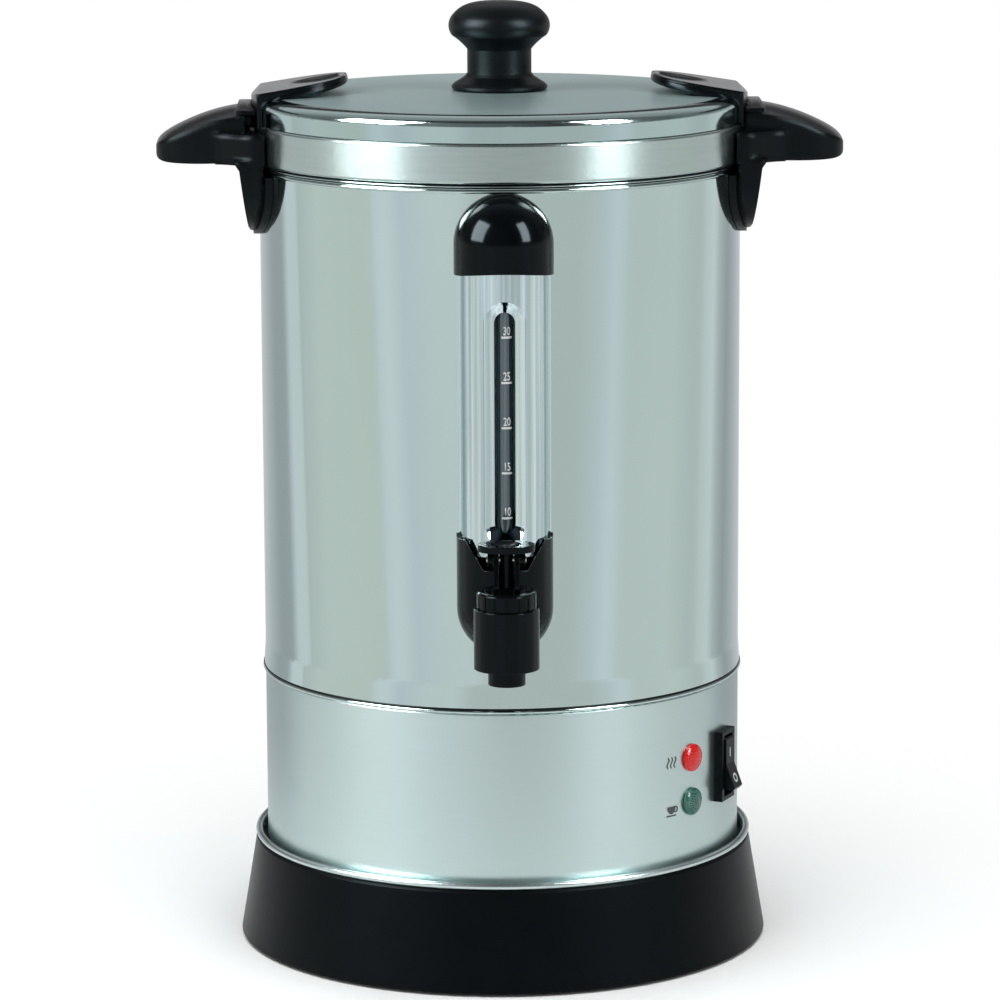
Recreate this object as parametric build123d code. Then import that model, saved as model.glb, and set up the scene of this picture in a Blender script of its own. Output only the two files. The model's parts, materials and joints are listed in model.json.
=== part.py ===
from build123d import *
from math import radians, sin, sqrt
import os

# Coffee urn with a tap. Millimetres, +Z up, the front with the tap faces -Y.
# The origin is the middle of the base, on the surface that the feet stand on.
# Each piece takes its radius and height from the piece that carries it.

# ---- named clearances ----
fit = 0.05          # radial play of a pin, screw or stem in its bore
seat_gap = 0.1      # between curved faces that are seated on each other
running_gap = 0.3   # between pieces that move past each other
closing_gap = 0.03  # between a flat screw head and the round wall that it is drawn against

# ---- shell ----
sheet = 0.8
body_r = 108.0
skirt_z = 1.5
skirt_step = 5.0       # from the housing's wall out to the skirt's top edge
skirt_spread = 7.5     # from the top edge out to the bottom edge
skirt_h = 44.8
skirt_wall = 2.6
skirt_edge = 1.2
lip_wall = 2.0
ledge_drop = 2.5       # the ledge that carries the housing, below the skirt's top edge
ledge_t = 3.0
ledge_w = 14.0
bead_r = 1.6
trim_leg_t = 0.6
housing_h = 81.2
housing_lip = 3.0
neck_bend = 0.6
neck_depth = 13.0
flare = 0.8
flare_h = 12.0
flare_bend = 20.0
tank_h = 247.6         # above the housing
tank_bead_drop = 19.6
tank_bead_r = 0.8
tank_bead_sink = 0.2
floor_rise = 11.0      # above the housing's top
floor_corner_r = 5.0
floor_turn_up = 10.0
well_r = 28.0
well_depth = 10.0
rim_step = 2.2
rim_h = 16.4
rim_lip = 3.2

tank_inner_r = body_r - sheet
skirt_top_r = body_r + skirt_step
skirt_bottom_r = skirt_top_r + skirt_spread
skirt_top_z = skirt_z + skirt_h
ledge_z = skirt_top_z - ledge_drop
ledge_r = skirt_top_r - ledge_w
housing_top_z = ledge_z + housing_h
tank_top_z = housing_top_z + tank_h
tank_bead_z = tank_top_z - tank_bead_drop
floor_z = housing_top_z + floor_rise
well_z = floor_z - well_depth
rim_r = body_r + rim_step
rim_z = tank_top_z - rim_h
beyond = 2 * body_r    # past every piece, for the reach of cutting shapes
behind = body_r - 18.0  # well inside the tank's wall, where such shapes start

# ---- base plate, feet and inside of the base ----
plate_z = 4.0
plate_t = 1.2
plate_inset = 4.5      # inside the skirt's bottom edge
foot_r = 9.0
foot_inset = 17.5      # the feet's circle, inside the skirt's bottom edge
boss_r = 4.5
foot_screw_len = 17.0
foot_recess = 2.2
head_play = 0.4
screw_r = 2.0
screw_head_r = 4.0
screw_head_h = 2.0
small_screw_r = 1.5
vent_count = 18
vent_inset = 28.0
vent_len = 26.0
vent_w = 4.0
heater_margin = 2.0    # inside the well's wall
heater_h = 9.0
clamp_h = 3.0
clamp_hub_r = 12.0
clamp_arm_w = 10.0
rod_r = 2.5
nut_r = 4.6
nut_h = 2.4
band_heater_r = 52.0
band_heater_w = 14.0
band_heater_h = 5.0
terminal_h = 16.0
terminal_half_d = 9.0
terminal_w = 44.0
terminal_x = -30.0
terminal_y = 52.0
thermostat_r = 8.0
thermostat_h = 9.0
wire_r = 1.1

plate_r = skirt_bottom_r - plate_inset
foot_circle_r = skirt_bottom_r - foot_inset
vent_out_r = plate_r - vent_inset
vent_in_r = vent_out_r - vent_len
heater_r = well_r - heater_margin

# ---- lid ----
lid_step = 1.0
lid_side_h = 6.9
lid_crown_inset = 13.0
lid_crown_rise = 4.8
lid_dome_rise = 1.4
lid_ring_play = 1.2
lid_ring_depth = 7.0
lug_half_w = 28.0
lug_wall = 2.1
lug_drop = 1.7
lug_h = 15.5
lug_len = 41.0
lug_tip_rise = 7.1
lug_t = 6.0
lug_screw_inset = 17.0
lug_screw_y = 9.0
dish_inset = 19.0
dish_r = 60.0
dish_rise = 2.2
tongue_reach = 4.2
tongue_half_deg = 7.0
tongue_lift = 1.1      # above the floor of the handle's slot
tongue_h = 5.6
slot_sink = 2.2        # the slot's floor, below the tank's top
slot_h = 8.0
slot_play = 0.8
slot_stop_y = 14.4

lid_r = body_r + lid_step
lid_z = tank_top_z + sheet + running_gap
lid_shoulder_z = lid_z + lid_side_h
lid_crown_r = lid_r - lid_crown_inset
lid_crown_z = lid_shoulder_z + lid_crown_rise
lid_top_z = lid_crown_z + lid_dome_rise
lid_ring_r = tank_inner_r - lid_ring_play
lug_outer_r = lid_r + seat_gap + lug_wall
lug_z = lid_z - lug_drop
lug_top_z = lug_z + lug_h
lug_tip_r = lid_r - lug_len
lug_tip_z = lug_top_z + lug_tip_rise
lug_screw_x = lid_r - lug_screw_inset
slot_z = tank_top_z - slot_sink
slot_r = lug_outer_r + tongue_reach + slot_play
tongue_z = slot_z + tongue_lift

# ---- knob ----
collar_r = 21.5
collar_flange_t = 3.0
collar_flare_h = 4.6
collar_h = 11.7
neck_r = 14.4
knob_r = 22.7
knob_wide_h = 17.6
knob_crown_h = 10.3
knob_screw_r = 2.5
knob_neck_h = 6.4
knob_nut_h = 12.0
washer_r = 7.0
washer_t = 1.0

collar_z = lid_top_z + seat_gap
seam_z = collar_z + collar_h
knob_wide_z = seam_z + knob_wide_h
knob_top_z = knob_wide_z + knob_crown_h

# ---- handles ----
grip_len = 45.5        # from the tank's wall to the tip
grip_half_w = 25.0
grip_floor_t = 13.6    # under the slot
bridge_t = 3.8         # over the slot
grip_fall = 13.6
arm_offset = 9.0
hood_len = 14.0
crown = 3.2
root_half_w = 39.0
leg_depth = 7.5
leg_drop = 31.3
pad_half_w = 39.5
pad_t = 3.0
pad_drop = 1.4         # below the tank's bead
handle_screw_drop = 11.6
handle_screw_deg = 9.0

grip_reach = body_r + grip_len
grip_under_z = slot_z - grip_floor_t
grip_top_z = slot_z + slot_h + bridge_t
arm_start = body_r + arm_offset
leg_r = body_r + leg_depth
leg_z = grip_under_z - leg_drop
pad_top_z = tank_bead_z - pad_drop
handle_screw_z = pad_top_z - handle_screw_drop

# ---- tap and the shank that carries it ----
tap_rise = 32.0        # the shank's axis, above the tank's floor
tap_reach = 45.0       # the cup's axis, in front of the tank's wall
cup_r = 14.0
cup_wall = 2.4
cup_half_h = 13.0
spout_r = 8.0
spout_bore_r = 5.5
spout_len = 7.0
shank_r = 7.0
shank_bore_r = 4.0
shank_inside = 11.0
shank_stop = 1.0
tee_half_w = 8.5
tap_neck_r = 9.6
gasket_r = 12.0
gasket_in_t = 3.0
gasket_out_t = 2.2
shank_nut_h = 5.0
bonnet_r = 12.7
bonnet_h = 7.5
bonnet_ribs = 16
thread_wall = 2.0
thread_h = 6.0
stem_r = 3.0
stem_over_pin = 2.5
seat_r = 7.5
seat_h = 9.0
pin_r = 1.5
pin_rise = 13.5        # above the bonnet
pin_len = 17.0
cam_r = 3.0
cam_y = 9.0
lever_half_w = 12.1
lever_half_d = 8.4
thumb_r = 30.0
lever_t = 3.0
lever_over_pin = 4.0
cheek_t = 2.2

tap_y = body_r + tap_reach
shank_z = floor_z + tap_rise
shank_end = body_r - shank_inside
shank_front = tap_y - cup_r - shank_stop
cup_z = shank_z - cup_half_h
cup_top_z = shank_z + cup_half_h
spout_z = cup_z - spout_len
pin_z = cup_top_z + bonnet_h + pin_rise
stem_top_z = pin_z + stem_over_pin
lever_z = pin_z + lever_over_pin

# ---- sight gauge ----
shield_half_w = 18.8
shield_depth = 22.0    # from the tank's wall to the shield's front
shield_t = 1.0
shield_rise = 4.0      # above the tube's foot
shield_head = 17.5     # above the window
shield_lip = 1.4
window_w = 18.0
window_rise = 5.0      # above the shield's lower end
window_h = 105.5
opening_w = 9.0
opening_inset = 5.0
window_flare = 2.8
window_depth = 3.6
tube_r = 4.4
tube_wall = 1.0
tube_offset = 11.4
tube_rise = 26.0       # the tube's foot, above the shank's axis
tube_drop = 8.0        # the tube's head, below the shield's top
seal_h = 6.0
seal_wall = 1.6
holder_wall = 1.8
cap_half_w = 21.5
cap_lap = 5.5
cap_sag = 2.2
cap_h = 10.5
cap_screw_rise = 9.0
cap_screw_len = 14.0
cover_half_w = 20.9
cover_lap = 6.5
cover_round_rise = 5.0
notch_depth = 12.0
notch_half_w = 17.6
notch_low_half_w = 9.5
shield_play = 0.2      # between the shield and the mouldings that hold its ends

shield_front = body_r + shield_depth
tube_y = body_r + tube_offset
tube_z = shank_z + tube_rise
shield_z = tube_z + shield_rise
window_z = shield_z + window_rise
window_top_z = window_z + window_h
shield_top_z = window_top_z + shield_head
tube_top_z = shield_top_z - tube_drop
cap_z = shield_top_z - cap_lap
cap_dome_z = cap_z + cap_h
cap_screw_z = cap_dome_z + cap_screw_rise
cover_z = shield_z + cover_lap
cover_round_z = shank_z + cover_round_rise
cover_notch_z = cover_z - notch_depth
gauge_centre = shield_front - shield_half_w
cover_front = gauge_centre + cover_half_w
cap_front = gauge_centre + cap_half_w
seal_r = tube_r + seat_gap + seal_wall

# ---- switch, lights and inlet on the base housing ----
switch_deg = -25.0
switch_rise = 42.8     # above the housing's foot
bezel_w = 15.0
bezel_h = 32.0
bezel_proud = 3.6
bezel_overlap = 1.2
rocker_w = 9.2
rocker_half_h = 12.3
rocker_tilt = 11.0
rocker_tip = 5.6
rocker_waist = 3.6
pivot_r = 1.2
switch_depth = 20.0
light_deg = -39.5
red_rise = 51.2
light_pitch = 20.0
lens_r = 6.2
lens_proud = 3.0
lens_rim_h = 0.9
lamp_r = 4.0
lamp_len = 22.0
lamp_ring_w = 2.5
inlet_rise = 30.2
inlet_half_w = 14.0
inlet_half_h = 9.0
inlet_depth = 24.0
flange_half_w = 21.0
flange_half_h = 13.0
flange_t = 2.0
inlet_wall = 2.0
inlet_pin_pitch = 7.0
inlet_head_r = 2.6

switch_z = ledge_z + switch_rise
red_z = ledge_z + red_rise
green_z = red_z - light_pitch
inlet_z = ledge_z + inlet_rise

# ---- brewing set ----
pump_r = 4.0
pump_wall = 0.6
pump_head = 17.0       # above the basket's rim
foot_margin = 4.0      # inside the well's wall
foot_cone_h = 9.0
basket_r = 70.0
basket_rise = 134.0    # above the tank's floor
basket_h = 69.0
basket_wall = 0.8
basket_collar_h = 14.0
basket_lip = 2.4
basket_hole_r = 1.5
basket_hole_margin = 16.0
basket_hole_pitch = 15.0
spreader_h = 4.0
spreader_hole_margin = 14.0
spreader_hole_pitch = 18.0

foot_cone_r = well_r - foot_margin
basket_z = floor_z + basket_rise
basket_rim_z = basket_z + basket_h
pump_top_z = basket_rim_z + pump_head

front = Plane.XZ
base = (Align.CENTER, Align.CENTER, Align.MIN)

# ================= helpers =================
def turned(points):
    """A closed outline of (radius, height) points turned about the Z axis."""
    return revolve(make_face(front * Polyline(*points, close=True)), Axis.Z)


def turned_sheet(points, bends, thickness, side):
    """Sheet metal turned about Z: an open outline of its outer face and its bend radii."""
    line = FilletPolyline(*points, radius=bends)
    return revolve(make_face(front * offset(line, amount=thickness, side=side)), Axis.Z)


def post(radius, low, high, x=0, y=0):
    """An upright cylinder between two heights."""
    return Pos(x, y, low) * Cylinder(radius, high - low, align=base)


def pipe(outer, inner, low, high):
    return post(outer, low, high) - post(inner, low - 1, high + 1)


def block(x0, x1, y0, y1, z0, z1):
    return Pos((x0 + x1) / 2, (y0 + y1) / 2, (z0 + z1) / 2) * Box(x1 - x0, y1 - y0, z1 - z0)


def along_y(radius, y0, y1, x=0, z=0):
    """A cylinder along Y between two distances in front of the axis."""
    return Pos(x, -(y0 + y1) / 2, z) * Rot(90, 0, 0) * Cylinder(radius, abs(y1 - y0))


def along_x(radius, x0, x1, y=0, z=0):
    return Pos((x0 + x1) / 2, y, z) * Rot(0, 90, 0) * Cylinder(radius, abs(x1 - x0))


def spin(part, angle):
    return Rot(0, 0, angle) * part


def joined(pieces):
    """Separate solids kept together in one node."""
    solids = [solid for piece in pieces for solid in piece.solids()]
    return Compound(children=solids)


def fused(pieces):
    whole = pieces[0]
    for piece in pieces[1:]:
        whole = whole + piece
    return whole


# ================= base =================
def skirt_r(z):
    share = (z - skirt_z) / (skirt_top_z - skirt_z)
    return skirt_bottom_r + (skirt_top_r - skirt_bottom_r) * share


foot_angles = [45, 135, 225, 315]
plate_top_z = plate_z + plate_t
ledge_low_z = ledge_z - ledge_t
lip_r = skirt_top_r - lip_wall


def base_skirt():
    shell = turned([
        (skirt_bottom_r, skirt_z), (skirt_r(skirt_top_z - skirt_edge), skirt_top_z - skirt_edge),
        (skirt_top_r - 0.9, skirt_top_z), (lip_r, skirt_top_z), (lip_r, ledge_z),
        (ledge_r, ledge_z), (ledge_r, ledge_low_z),
        (skirt_r(ledge_low_z) - skirt_wall, ledge_low_z),
        (skirt_bottom_r - skirt_wall, skirt_z),
    ])
    for angle in foot_angles:
        boss = post(boss_r, plate_top_z, ledge_low_z, foot_circle_r)
        shell = shell + spin(boss, angle)
    for angle in foot_angles:
        bore = post(screw_r + fit, plate_z, foot_recess + foot_screw_len + 4, foot_circle_r)
        shell = shell - spin(bore, angle)
    return shell


def bottom_plate():
    plate = post(plate_r, plate_z, plate_top_z)
    plate = plate - post(rod_r + fit, plate_z - 1, plate_top_z + 1)
    for angle in foot_angles:
        plate = plate - spin(post(screw_r + fit, 0, plate_top_z + 1, foot_circle_r), angle)
    for index in range(vent_count):
        slot = block(vent_in_r, vent_out_r, -vent_w / 2, vent_w / 2, plate_z - 1, plate_top_z + 1)
        plate = plate - spin(slot, index * 360 / vent_count)
    return plate


def rubber_feet():
    foot = turned([(0, 0), (foot_r - 1, 0), (foot_r, 1), (foot_r, plate_z), (0, plate_z)])
    foot = foot - post(screw_head_r + head_play, -1, foot_recess) - post(screw_r + fit, 0, plate_z + 1)
    return joined([spin(Pos(foot_circle_r, 0, 0) * foot, angle) for angle in foot_angles])


def pan_screw(length):
    """A pan head screw along +Z, the underside of its head at the origin."""
    head = turned([(0, -screw_head_h), (screw_head_r - 1, -screw_head_h),
                   (screw_head_r, 1 - screw_head_h), (screw_head_r, 0), (0, 0)])
    slot = block(-screw_head_r, screw_head_r, -0.4, 0.4, -screw_head_h - 1, -screw_head_h + 0.8)
    return head + post(screw_r, -0.5, length) - slot


def feet_screws():
    screw = Pos(foot_circle_r, 0, foot_recess) * pan_screw(foot_screw_len)
    return joined([spin(screw, angle) for angle in foot_angles])


def trim_ring():
    """A rolled bead on a leg that stands in the groove between the skirt's lip and the housing."""
    leg_outer_r = lip_r - seat_gap
    leg_inner_r = leg_outer_r - trim_leg_t
    leg = pipe(leg_outer_r, leg_inner_r, ledge_z, skirt_top_z + bead_r)
    centre_r = leg_inner_r + bead_r
    bead = revolve(front * Pos(centre_r, skirt_top_z + bead_r) * Circle(bead_r), Axis.Z)
    return leg + bead


def on_wall(angle, z, part):
    """Places a piece modelled along +X, its origin at the axis, on the base housing."""
    return spin(Pos(0, 0, z) * part, angle)


def base_housing():
    lip_inner_r = body_r - housing_lip
    shell = turned_sheet(
        [(ledge_r + 0.5, ledge_z), (body_r, ledge_z), (body_r, housing_top_z), (lip_inner_r, housing_top_z)],
        [2.0, 1.5], sheet, Side.LEFT)
    hole_half_w = bezel_w / 2 - bezel_overlap
    hole_half_h = bezel_h / 2 - bezel_overlap
    switch_hole = block(body_r - 8, body_r + 8, -hole_half_w, hole_half_w, -hole_half_h, hole_half_h)
    shell = shell - on_wall(switch_deg, switch_z, switch_hole)
    for z in (red_z, green_z):
        shell = shell - on_wall(light_deg, z, along_x(lamp_r + fit, body_r - 8, body_r + 8))
    inlet_hole = block(body_r - 10, body_r + 8, -inlet_half_w, inlet_half_w, -inlet_half_h, inlet_half_h)
    shell = shell - on_wall(90, inlet_z, inlet_hole)
    for side in (-1, 1):
        hole = along_x(small_screw_r + fit, body_r - 8, body_r + 8, y=side * inlet_screw_y)
        shell = shell - on_wall(90, inlet_z, hole)
    return shell


# ================= tank =================
neck_outer_r = body_r - housing_lip - neck_bend - seat_gap
flare_r = body_r + flare


def tank_plug(growth=0):
    """The space that the tank's wall and its bead take up, for trimming what lies against them."""
    wall = post(body_r + growth, housing_top_z - 20, tank_top_z + 1)
    bead_top = tank_bead_z + tank_bead_r + growth
    return wall + post(body_r + tank_bead_r + growth, tank_bead_z - tank_bead_r - growth, bead_top)


def handle_screw_angles():
    return [side * 180 + sign * handle_screw_deg for side in (0, 1) for sign in (-1, 1)]


def tank():
    wall = turned_sheet(
        [(neck_outer_r, housing_top_z - neck_depth), (neck_outer_r, housing_top_z), (flare_r, housing_top_z),
         (body_r, housing_top_z + flare_h), (body_r, tank_top_z)],
        [neck_bend, 1.6, flare_bend], sheet, Side.LEFT)
    bead = revolve(front * Pos(body_r - tank_bead_sink, tank_bead_z) * Circle(tank_bead_r), Axis.Z)
    bead = bead - post(body_r - sheet / 2, tank_bead_z - 2, tank_bead_z + 2)
    weld_r = tank_inner_r + sheet / 2
    floor = turned_sheet(
        [(weld_r, floor_z + floor_turn_up), (weld_r, floor_z - sheet),
         (well_r + sheet, floor_z - sheet), (well_r + sheet, well_z - sheet), (0, well_z - sheet)],
        [floor_corner_r, 1.2, 3], sheet, Side.RIGHT)
    shell = wall + bead + floor
    shell = shell - along_y(shank_r + fit, body_r - 10, body_r + 10, z=shank_z)
    shell = shell - along_y(screw_r + fit, body_r - 10, body_r + 10, z=cap_screw_z)
    for angle in handle_screw_angles():
        shell = shell - spin(along_x(screw_r + fit, body_r - 8, body_r + 8, z=handle_screw_z), angle)
    return shell


def rim_band():
    return turned_sheet(
        [(body_r + running_gap, rim_z), (rim_r, rim_z), (rim_r, tank_top_z + sheet),
         (rim_r - rim_lip, tank_top_z + sheet)],
        [1.4, 1.2], sheet, Side.LEFT)


# ================= under the tank =================
heater_top_z = well_z - sheet
heater_low_z = heater_top_z - heater_h
clamp_low_z = heater_low_z - clamp_h


def brew_heater():
    disc = turned([(0, heater_low_z), (heater_r, heater_low_z), (heater_r, heater_top_z - 3),
                   (heater_r - 1, heater_top_z), (0, heater_top_z)])
    for side in (-1, 1):
        disc = disc + along_x(2.2, heater_r - 4, heater_r + 9, y=side * 12, z=heater_low_z + 4)
    return disc


def heater_clamp():
    """A star of three arms under the heater, drawn down by the tie rod."""
    star = post(clamp_hub_r, clamp_low_z, heater_low_z)
    for angle in (90, 210, 330):
        arm = block(0, heater_r - 2, -clamp_arm_w / 2, clamp_arm_w / 2, clamp_low_z, heater_low_z)
        star = star + spin(arm, angle)
    return star - post(rod_r + fit, clamp_low_z - 1, heater_low_z + 1)


def tie_rod():
    return post(rod_r, plate_z - nut_h - 0.6, heater_low_z)


def hex_nut(radius, height, bore):
    return extrude(RegularPolygon(radius, 6), height) - post(bore, -1, height + 1)


def tie_nuts():
    nut = hex_nut(nut_r, nut_h, rod_r + fit)
    return joined([Pos(0, 0, clamp_low_z - nut_h) * nut, Pos(0, 0, plate_z - nut_h) * nut])


def keep_warm_heater():
    """A flat band of heating mat round the well, under the tank floor."""
    top = floor_z - sheet
    ring = pipe(band_heater_r, band_heater_r - band_heater_w, top - band_heater_h, top)
    return ring + block(-6, 6, band_heater_r - 2, band_heater_r + 8, top - band_heater_h, top - 1)


thermostat_spots = [(-72, 8), (-60, -44), (66, 20)]


def thermostats():
    """Round snap thermostats that touch the tank floor from below, with their blades."""
    top = floor_z - sheet
    pieces = []
    for x, y in thermostat_spots:
        body = post(thermostat_r, top - thermostat_h, top, x, y)
        for side in (-1, 1):
            body = body + block(x + side * 4 - 0.4, x + side * 4 + 0.4, y - 3, y + 3,
                                top - thermostat_h - 7, top - thermostat_h)
        pieces.append(body)
    return joined(pieces)


def thermal_fuse():
    """A fuse capsule held by its clip against the tank floor."""
    top = floor_z - sheet
    clip = block(20, 44, 60, 70, top - 6, top)
    return clip + along_x(2.4, 14, 50, y=65, z=top - 4)


def terminal_block():
    """A ceramic connector that stands on the bottom plate."""
    body = block(terminal_x - terminal_w / 2, terminal_x + terminal_w / 2, terminal_y - terminal_half_d,
                 terminal_y + terminal_half_d, plate_top_z, plate_top_z + terminal_h)
    for index in range(4):
        x = terminal_x - terminal_w / 2 + 5.5 + index * 11
        body = body - post(2.0, plate_top_z + 9, plate_top_z + terminal_h + 1, x, terminal_y)
    return body


def wire(points, bend):
    path = FilletPolyline(*points, radius=bend)
    profile = Plane(origin=path @ 0, z_dir=path % 0) * Circle(wire_r)
    return sweep(profile, path=path)


def wire_harness():
    """Leads from the terminal block to the inlet, the heaters, the thermostats and the switch."""
    top = plate_top_z + 9 + wire_r
    lead_z = top + 9
    slot_x = [terminal_x - terminal_w / 2 + 5.5 + index * 11 for index in range(4)]
    ends = [
        (-9.0, body_r - inlet_depth - 7, inlet_z),
        (-heater_r - 2, 12.0, heater_low_z + 4),
        (-2.0, band_heater_r + 10, floor_z - 6),
        (thermostat_spots[0][0], thermostat_spots[0][1], floor_z - thermostat_h - 10),
    ]
    leads = []
    for x, (end_x, end_y, end_z) in zip(slot_x, ends):
        middle_y = (terminal_y + end_y) / 2 + 6
        route = [(x, terminal_y, top), (x, terminal_y, lead_z + 8), ((x + end_x) / 2, middle_y, lead_z + 24),
                 (end_x, end_y, end_z - 14), (end_x, end_y, end_z - 3)]
        leads.append(wire(route, 6))
    return joined(leads)


# ================= lid =================
def lid_plug(growth=0):
    """The space under the lid's outer face, grown outwards by the given amount."""
    top = lid_top_z + growth
    crown_z = lid_crown_z + growth
    edge = lid_r + growth
    dome = ThreePointArc((0, top), (lid_crown_r / 2, top - (top - crown_z) / 4), (lid_crown_r, crown_z))
    slope = (top - crown_z) * 2 / lid_crown_r
    shoulder = Bezier((lid_crown_r, crown_z), (edge - 4, crown_z - slope * (edge - 4 - lid_crown_r)),
                      (edge, crown_z - slope * 9 - 0.6), (edge, lid_shoulder_z))
    low = lid_z - 1 if growth < 0 else lid_z
    rest = Polyline((edge, lid_shoulder_z), (edge, low), (0, low), (0, top))
    return revolve(make_face(front * (dome + shoulder + rest)), Axis.Z)


lug_screw_spots = [(lug_screw_x, -lug_screw_y), (lug_screw_x, lug_screw_y)]


def lid_ring_limit(low):
    """The space in which the lid's inner ring may stand."""
    return lid_plug(-0.2) + post(lid_ring_r, low, lid_z)


def lid():
    shell = lid_plug() - lid_plug(-sheet)
    ring_low = lid_z - lid_ring_depth
    ring = pipe(lid_ring_r, lid_ring_r - sheet, ring_low, lid_crown_z)
    shell = shell + (ring & lid_ring_limit(ring_low))
    shell = shell - post(knob_screw_r + fit, lid_top_z - 10, lid_top_z + 5)
    for angle in (0, 180):
        for x, y in lug_screw_spots:
            shell = shell - spin(post(small_screw_r + fit, lid_crown_z - 6, lid_crown_z + 6, x, y), angle)
    return shell




def lug_outline():
    """Plan of a lid lug: the lid's edge outside, and an oval thumb rest inwards."""
    corner_x = sqrt(lug_outer_r ** 2 - lug_half_w ** 2)
    edge = ThreePointArc((corner_x, -lug_half_w), (lug_outer_r, 0), (corner_x, lug_half_w))
    upper = Spline((corner_x, lug_half_w), (lug_tip_r, 0), tangents=[(-1, 0), (0, -1)],
                   tangent_scalars=[1.2, 1.5])
    lower = mirror(upper, Plane.XZ)
    return make_face(edge + upper + lower)


def lid_lug():
    """A moulding that caps the lid's edge, with a thumb rest above and a locking tongue outside."""
    plan = extrude(Pos(0, 0, lug_z) * lug_outline(), lug_tip_z + 4 - lug_z)
    rise = (lug_tip_z - lug_top_z) / (lug_outer_r - lug_tip_r)
    inner_x = lid_r - 12
    side = make_face(front * Polyline(
        (lug_outer_r + 1, lug_z), (lug_outer_r + 1, lug_top_z - 3), (lug_outer_r - 3, lug_top_z),
        (lug_tip_r + 1, lug_top_z + rise * (lug_outer_r - 4 - lug_tip_r)),
        (lug_tip_r - 1, lug_tip_z - 2.2), (lug_tip_r + 8, lug_tip_z - lug_t),
        (inner_x, lug_top_z - lug_t - 0.5), (inner_x, lug_z), close=True))
    body = plan & extrude(side, lug_half_w + 1, both=True)
    body = body - lid_plug(seat_gap) - post(lid_r + seat_gap, lug_z - 1, lid_z + 0.5)
    body = body - post(rim_r + running_gap, lug_z - 1, lid_z)
    body = body - Pos(lid_r - dish_inset, 0, lug_top_z + dish_rise + dish_r) * Sphere(dish_r)
    half_w = lug_outer_r * sin(radians(tongue_half_deg))
    ring = pipe(lug_outer_r + tongue_reach, lug_outer_r - 0.5, tongue_z, tongue_z + tongue_h)
    body = body + (ring & block(behind, beyond, -half_w, half_w, tongue_z, tongue_z + tongue_h))
    foot = fused([post(4, lid_crown_z - 1, lug_top_z, x, y) for x, y in lug_screw_spots])
    body = body + (foot - lid_plug(seat_gap))
    for x, y in lug_screw_spots:
        body = body - post(small_screw_r + fit, lid_crown_z - 2, lid_crown_z + 4.2, x, y)
    return body


def lug_screws():
    """Small screws from inside the lid into the lugs."""
    head_r = 2 * small_screw_r
    far_r = lug_screw_spots[0][0] + head_r
    seat_z = lid_top_z - sheet - (lid_top_z - lid_crown_z) * (far_r / lid_crown_r) ** 2 - seat_gap
    tip_z = lid_crown_z + 3.8
    screw = post(head_r, seat_z - 1.6, seat_z) + post(small_screw_r, seat_z - 1, tip_z)
    return joined([spin(Pos(x, y, 0) * screw, angle) for angle in (0, 180) for x, y in lug_screw_spots])


# ================= knob =================
def knob_collar():
    flange_top_z = collar_z + collar_flange_t
    return turned([
        (knob_screw_r + fit, collar_z), (collar_r - 0.8, collar_z), (collar_r, collar_z + 0.8),
        (collar_r, flange_top_z - 1.2), (collar_r - 1.2, flange_top_z),
        (neck_r + 3.6, flange_top_z + 0.3 * collar_flare_h), (neck_r + 1.2, flange_top_z + 0.65 * collar_flare_h),
        (neck_r, flange_top_z + collar_flare_h), (neck_r, seam_z), (knob_screw_r + fit, seam_z),
    ])


def knob():
    """A mushroom grip with a blind bore for its screw."""
    neck_top_z = seam_z + knob_neck_h
    under_z = knob_wide_z - 5.0
    upper_z = knob_wide_z + 4.4
    under = ThreePointArc((neck_r, neck_top_z), (neck_r + 3.2, neck_top_z + 3.4), (knob_r - 1.4, under_z))
    rim = ThreePointArc((knob_r - 1.4, under_z), (knob_r, knob_wide_z), (knob_r - 2.0, upper_z))
    top = Bezier((knob_r - 2.0, upper_z), (knob_r - 6, knob_top_z - 1.2), (knob_r - 11, knob_top_z),
                 (0, knob_top_z))
    bore_top_z = seam_z + knob_nut_h
    rest = Polyline((0, knob_top_z), (0, bore_top_z), (knob_screw_r + fit, bore_top_z),
                    (knob_screw_r + fit, seam_z), (neck_r, seam_z), (neck_r, neck_top_z))
    return revolve(make_face(front * (under + rim + top + rest)), Axis.Z)


lid_under_z = lid_top_z - sheet
washer_top_z = lid_under_z - seat_gap


def knob_washer():
    return pipe(washer_r, knob_screw_r + fit, washer_top_z - washer_t, washer_top_z)


def knob_screw():
    head_z = washer_top_z - washer_t
    head_r = 2 * knob_screw_r
    head = turned([(0, head_z - 3), (head_r - 1, head_z - 3), (head_r, head_z - 2), (head_r, head_z),
                   (0, head_z)])
    return head + post(knob_screw_r, head_z - 1, seam_z + knob_nut_h - 1)


# ================= handles =================
def grip_section(x, half_w, top_z, under_z, sag):
    """A cross-section of the grip with a flat underside and a crowned top."""
    edge_z = top_z - sag
    arch = ThreePointArc((half_w, edge_z), (0, top_z), (-half_w, edge_z))
    sides = Polyline((-half_w, edge_z), (-half_w, under_z), (half_w, under_z), (half_w, edge_z))
    plane = Plane(origin=(x, 0, 0), x_dir=(0, 1, 0), z_dir=(1, 0, 0))
    return plane * make_face(arch + sides)


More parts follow.
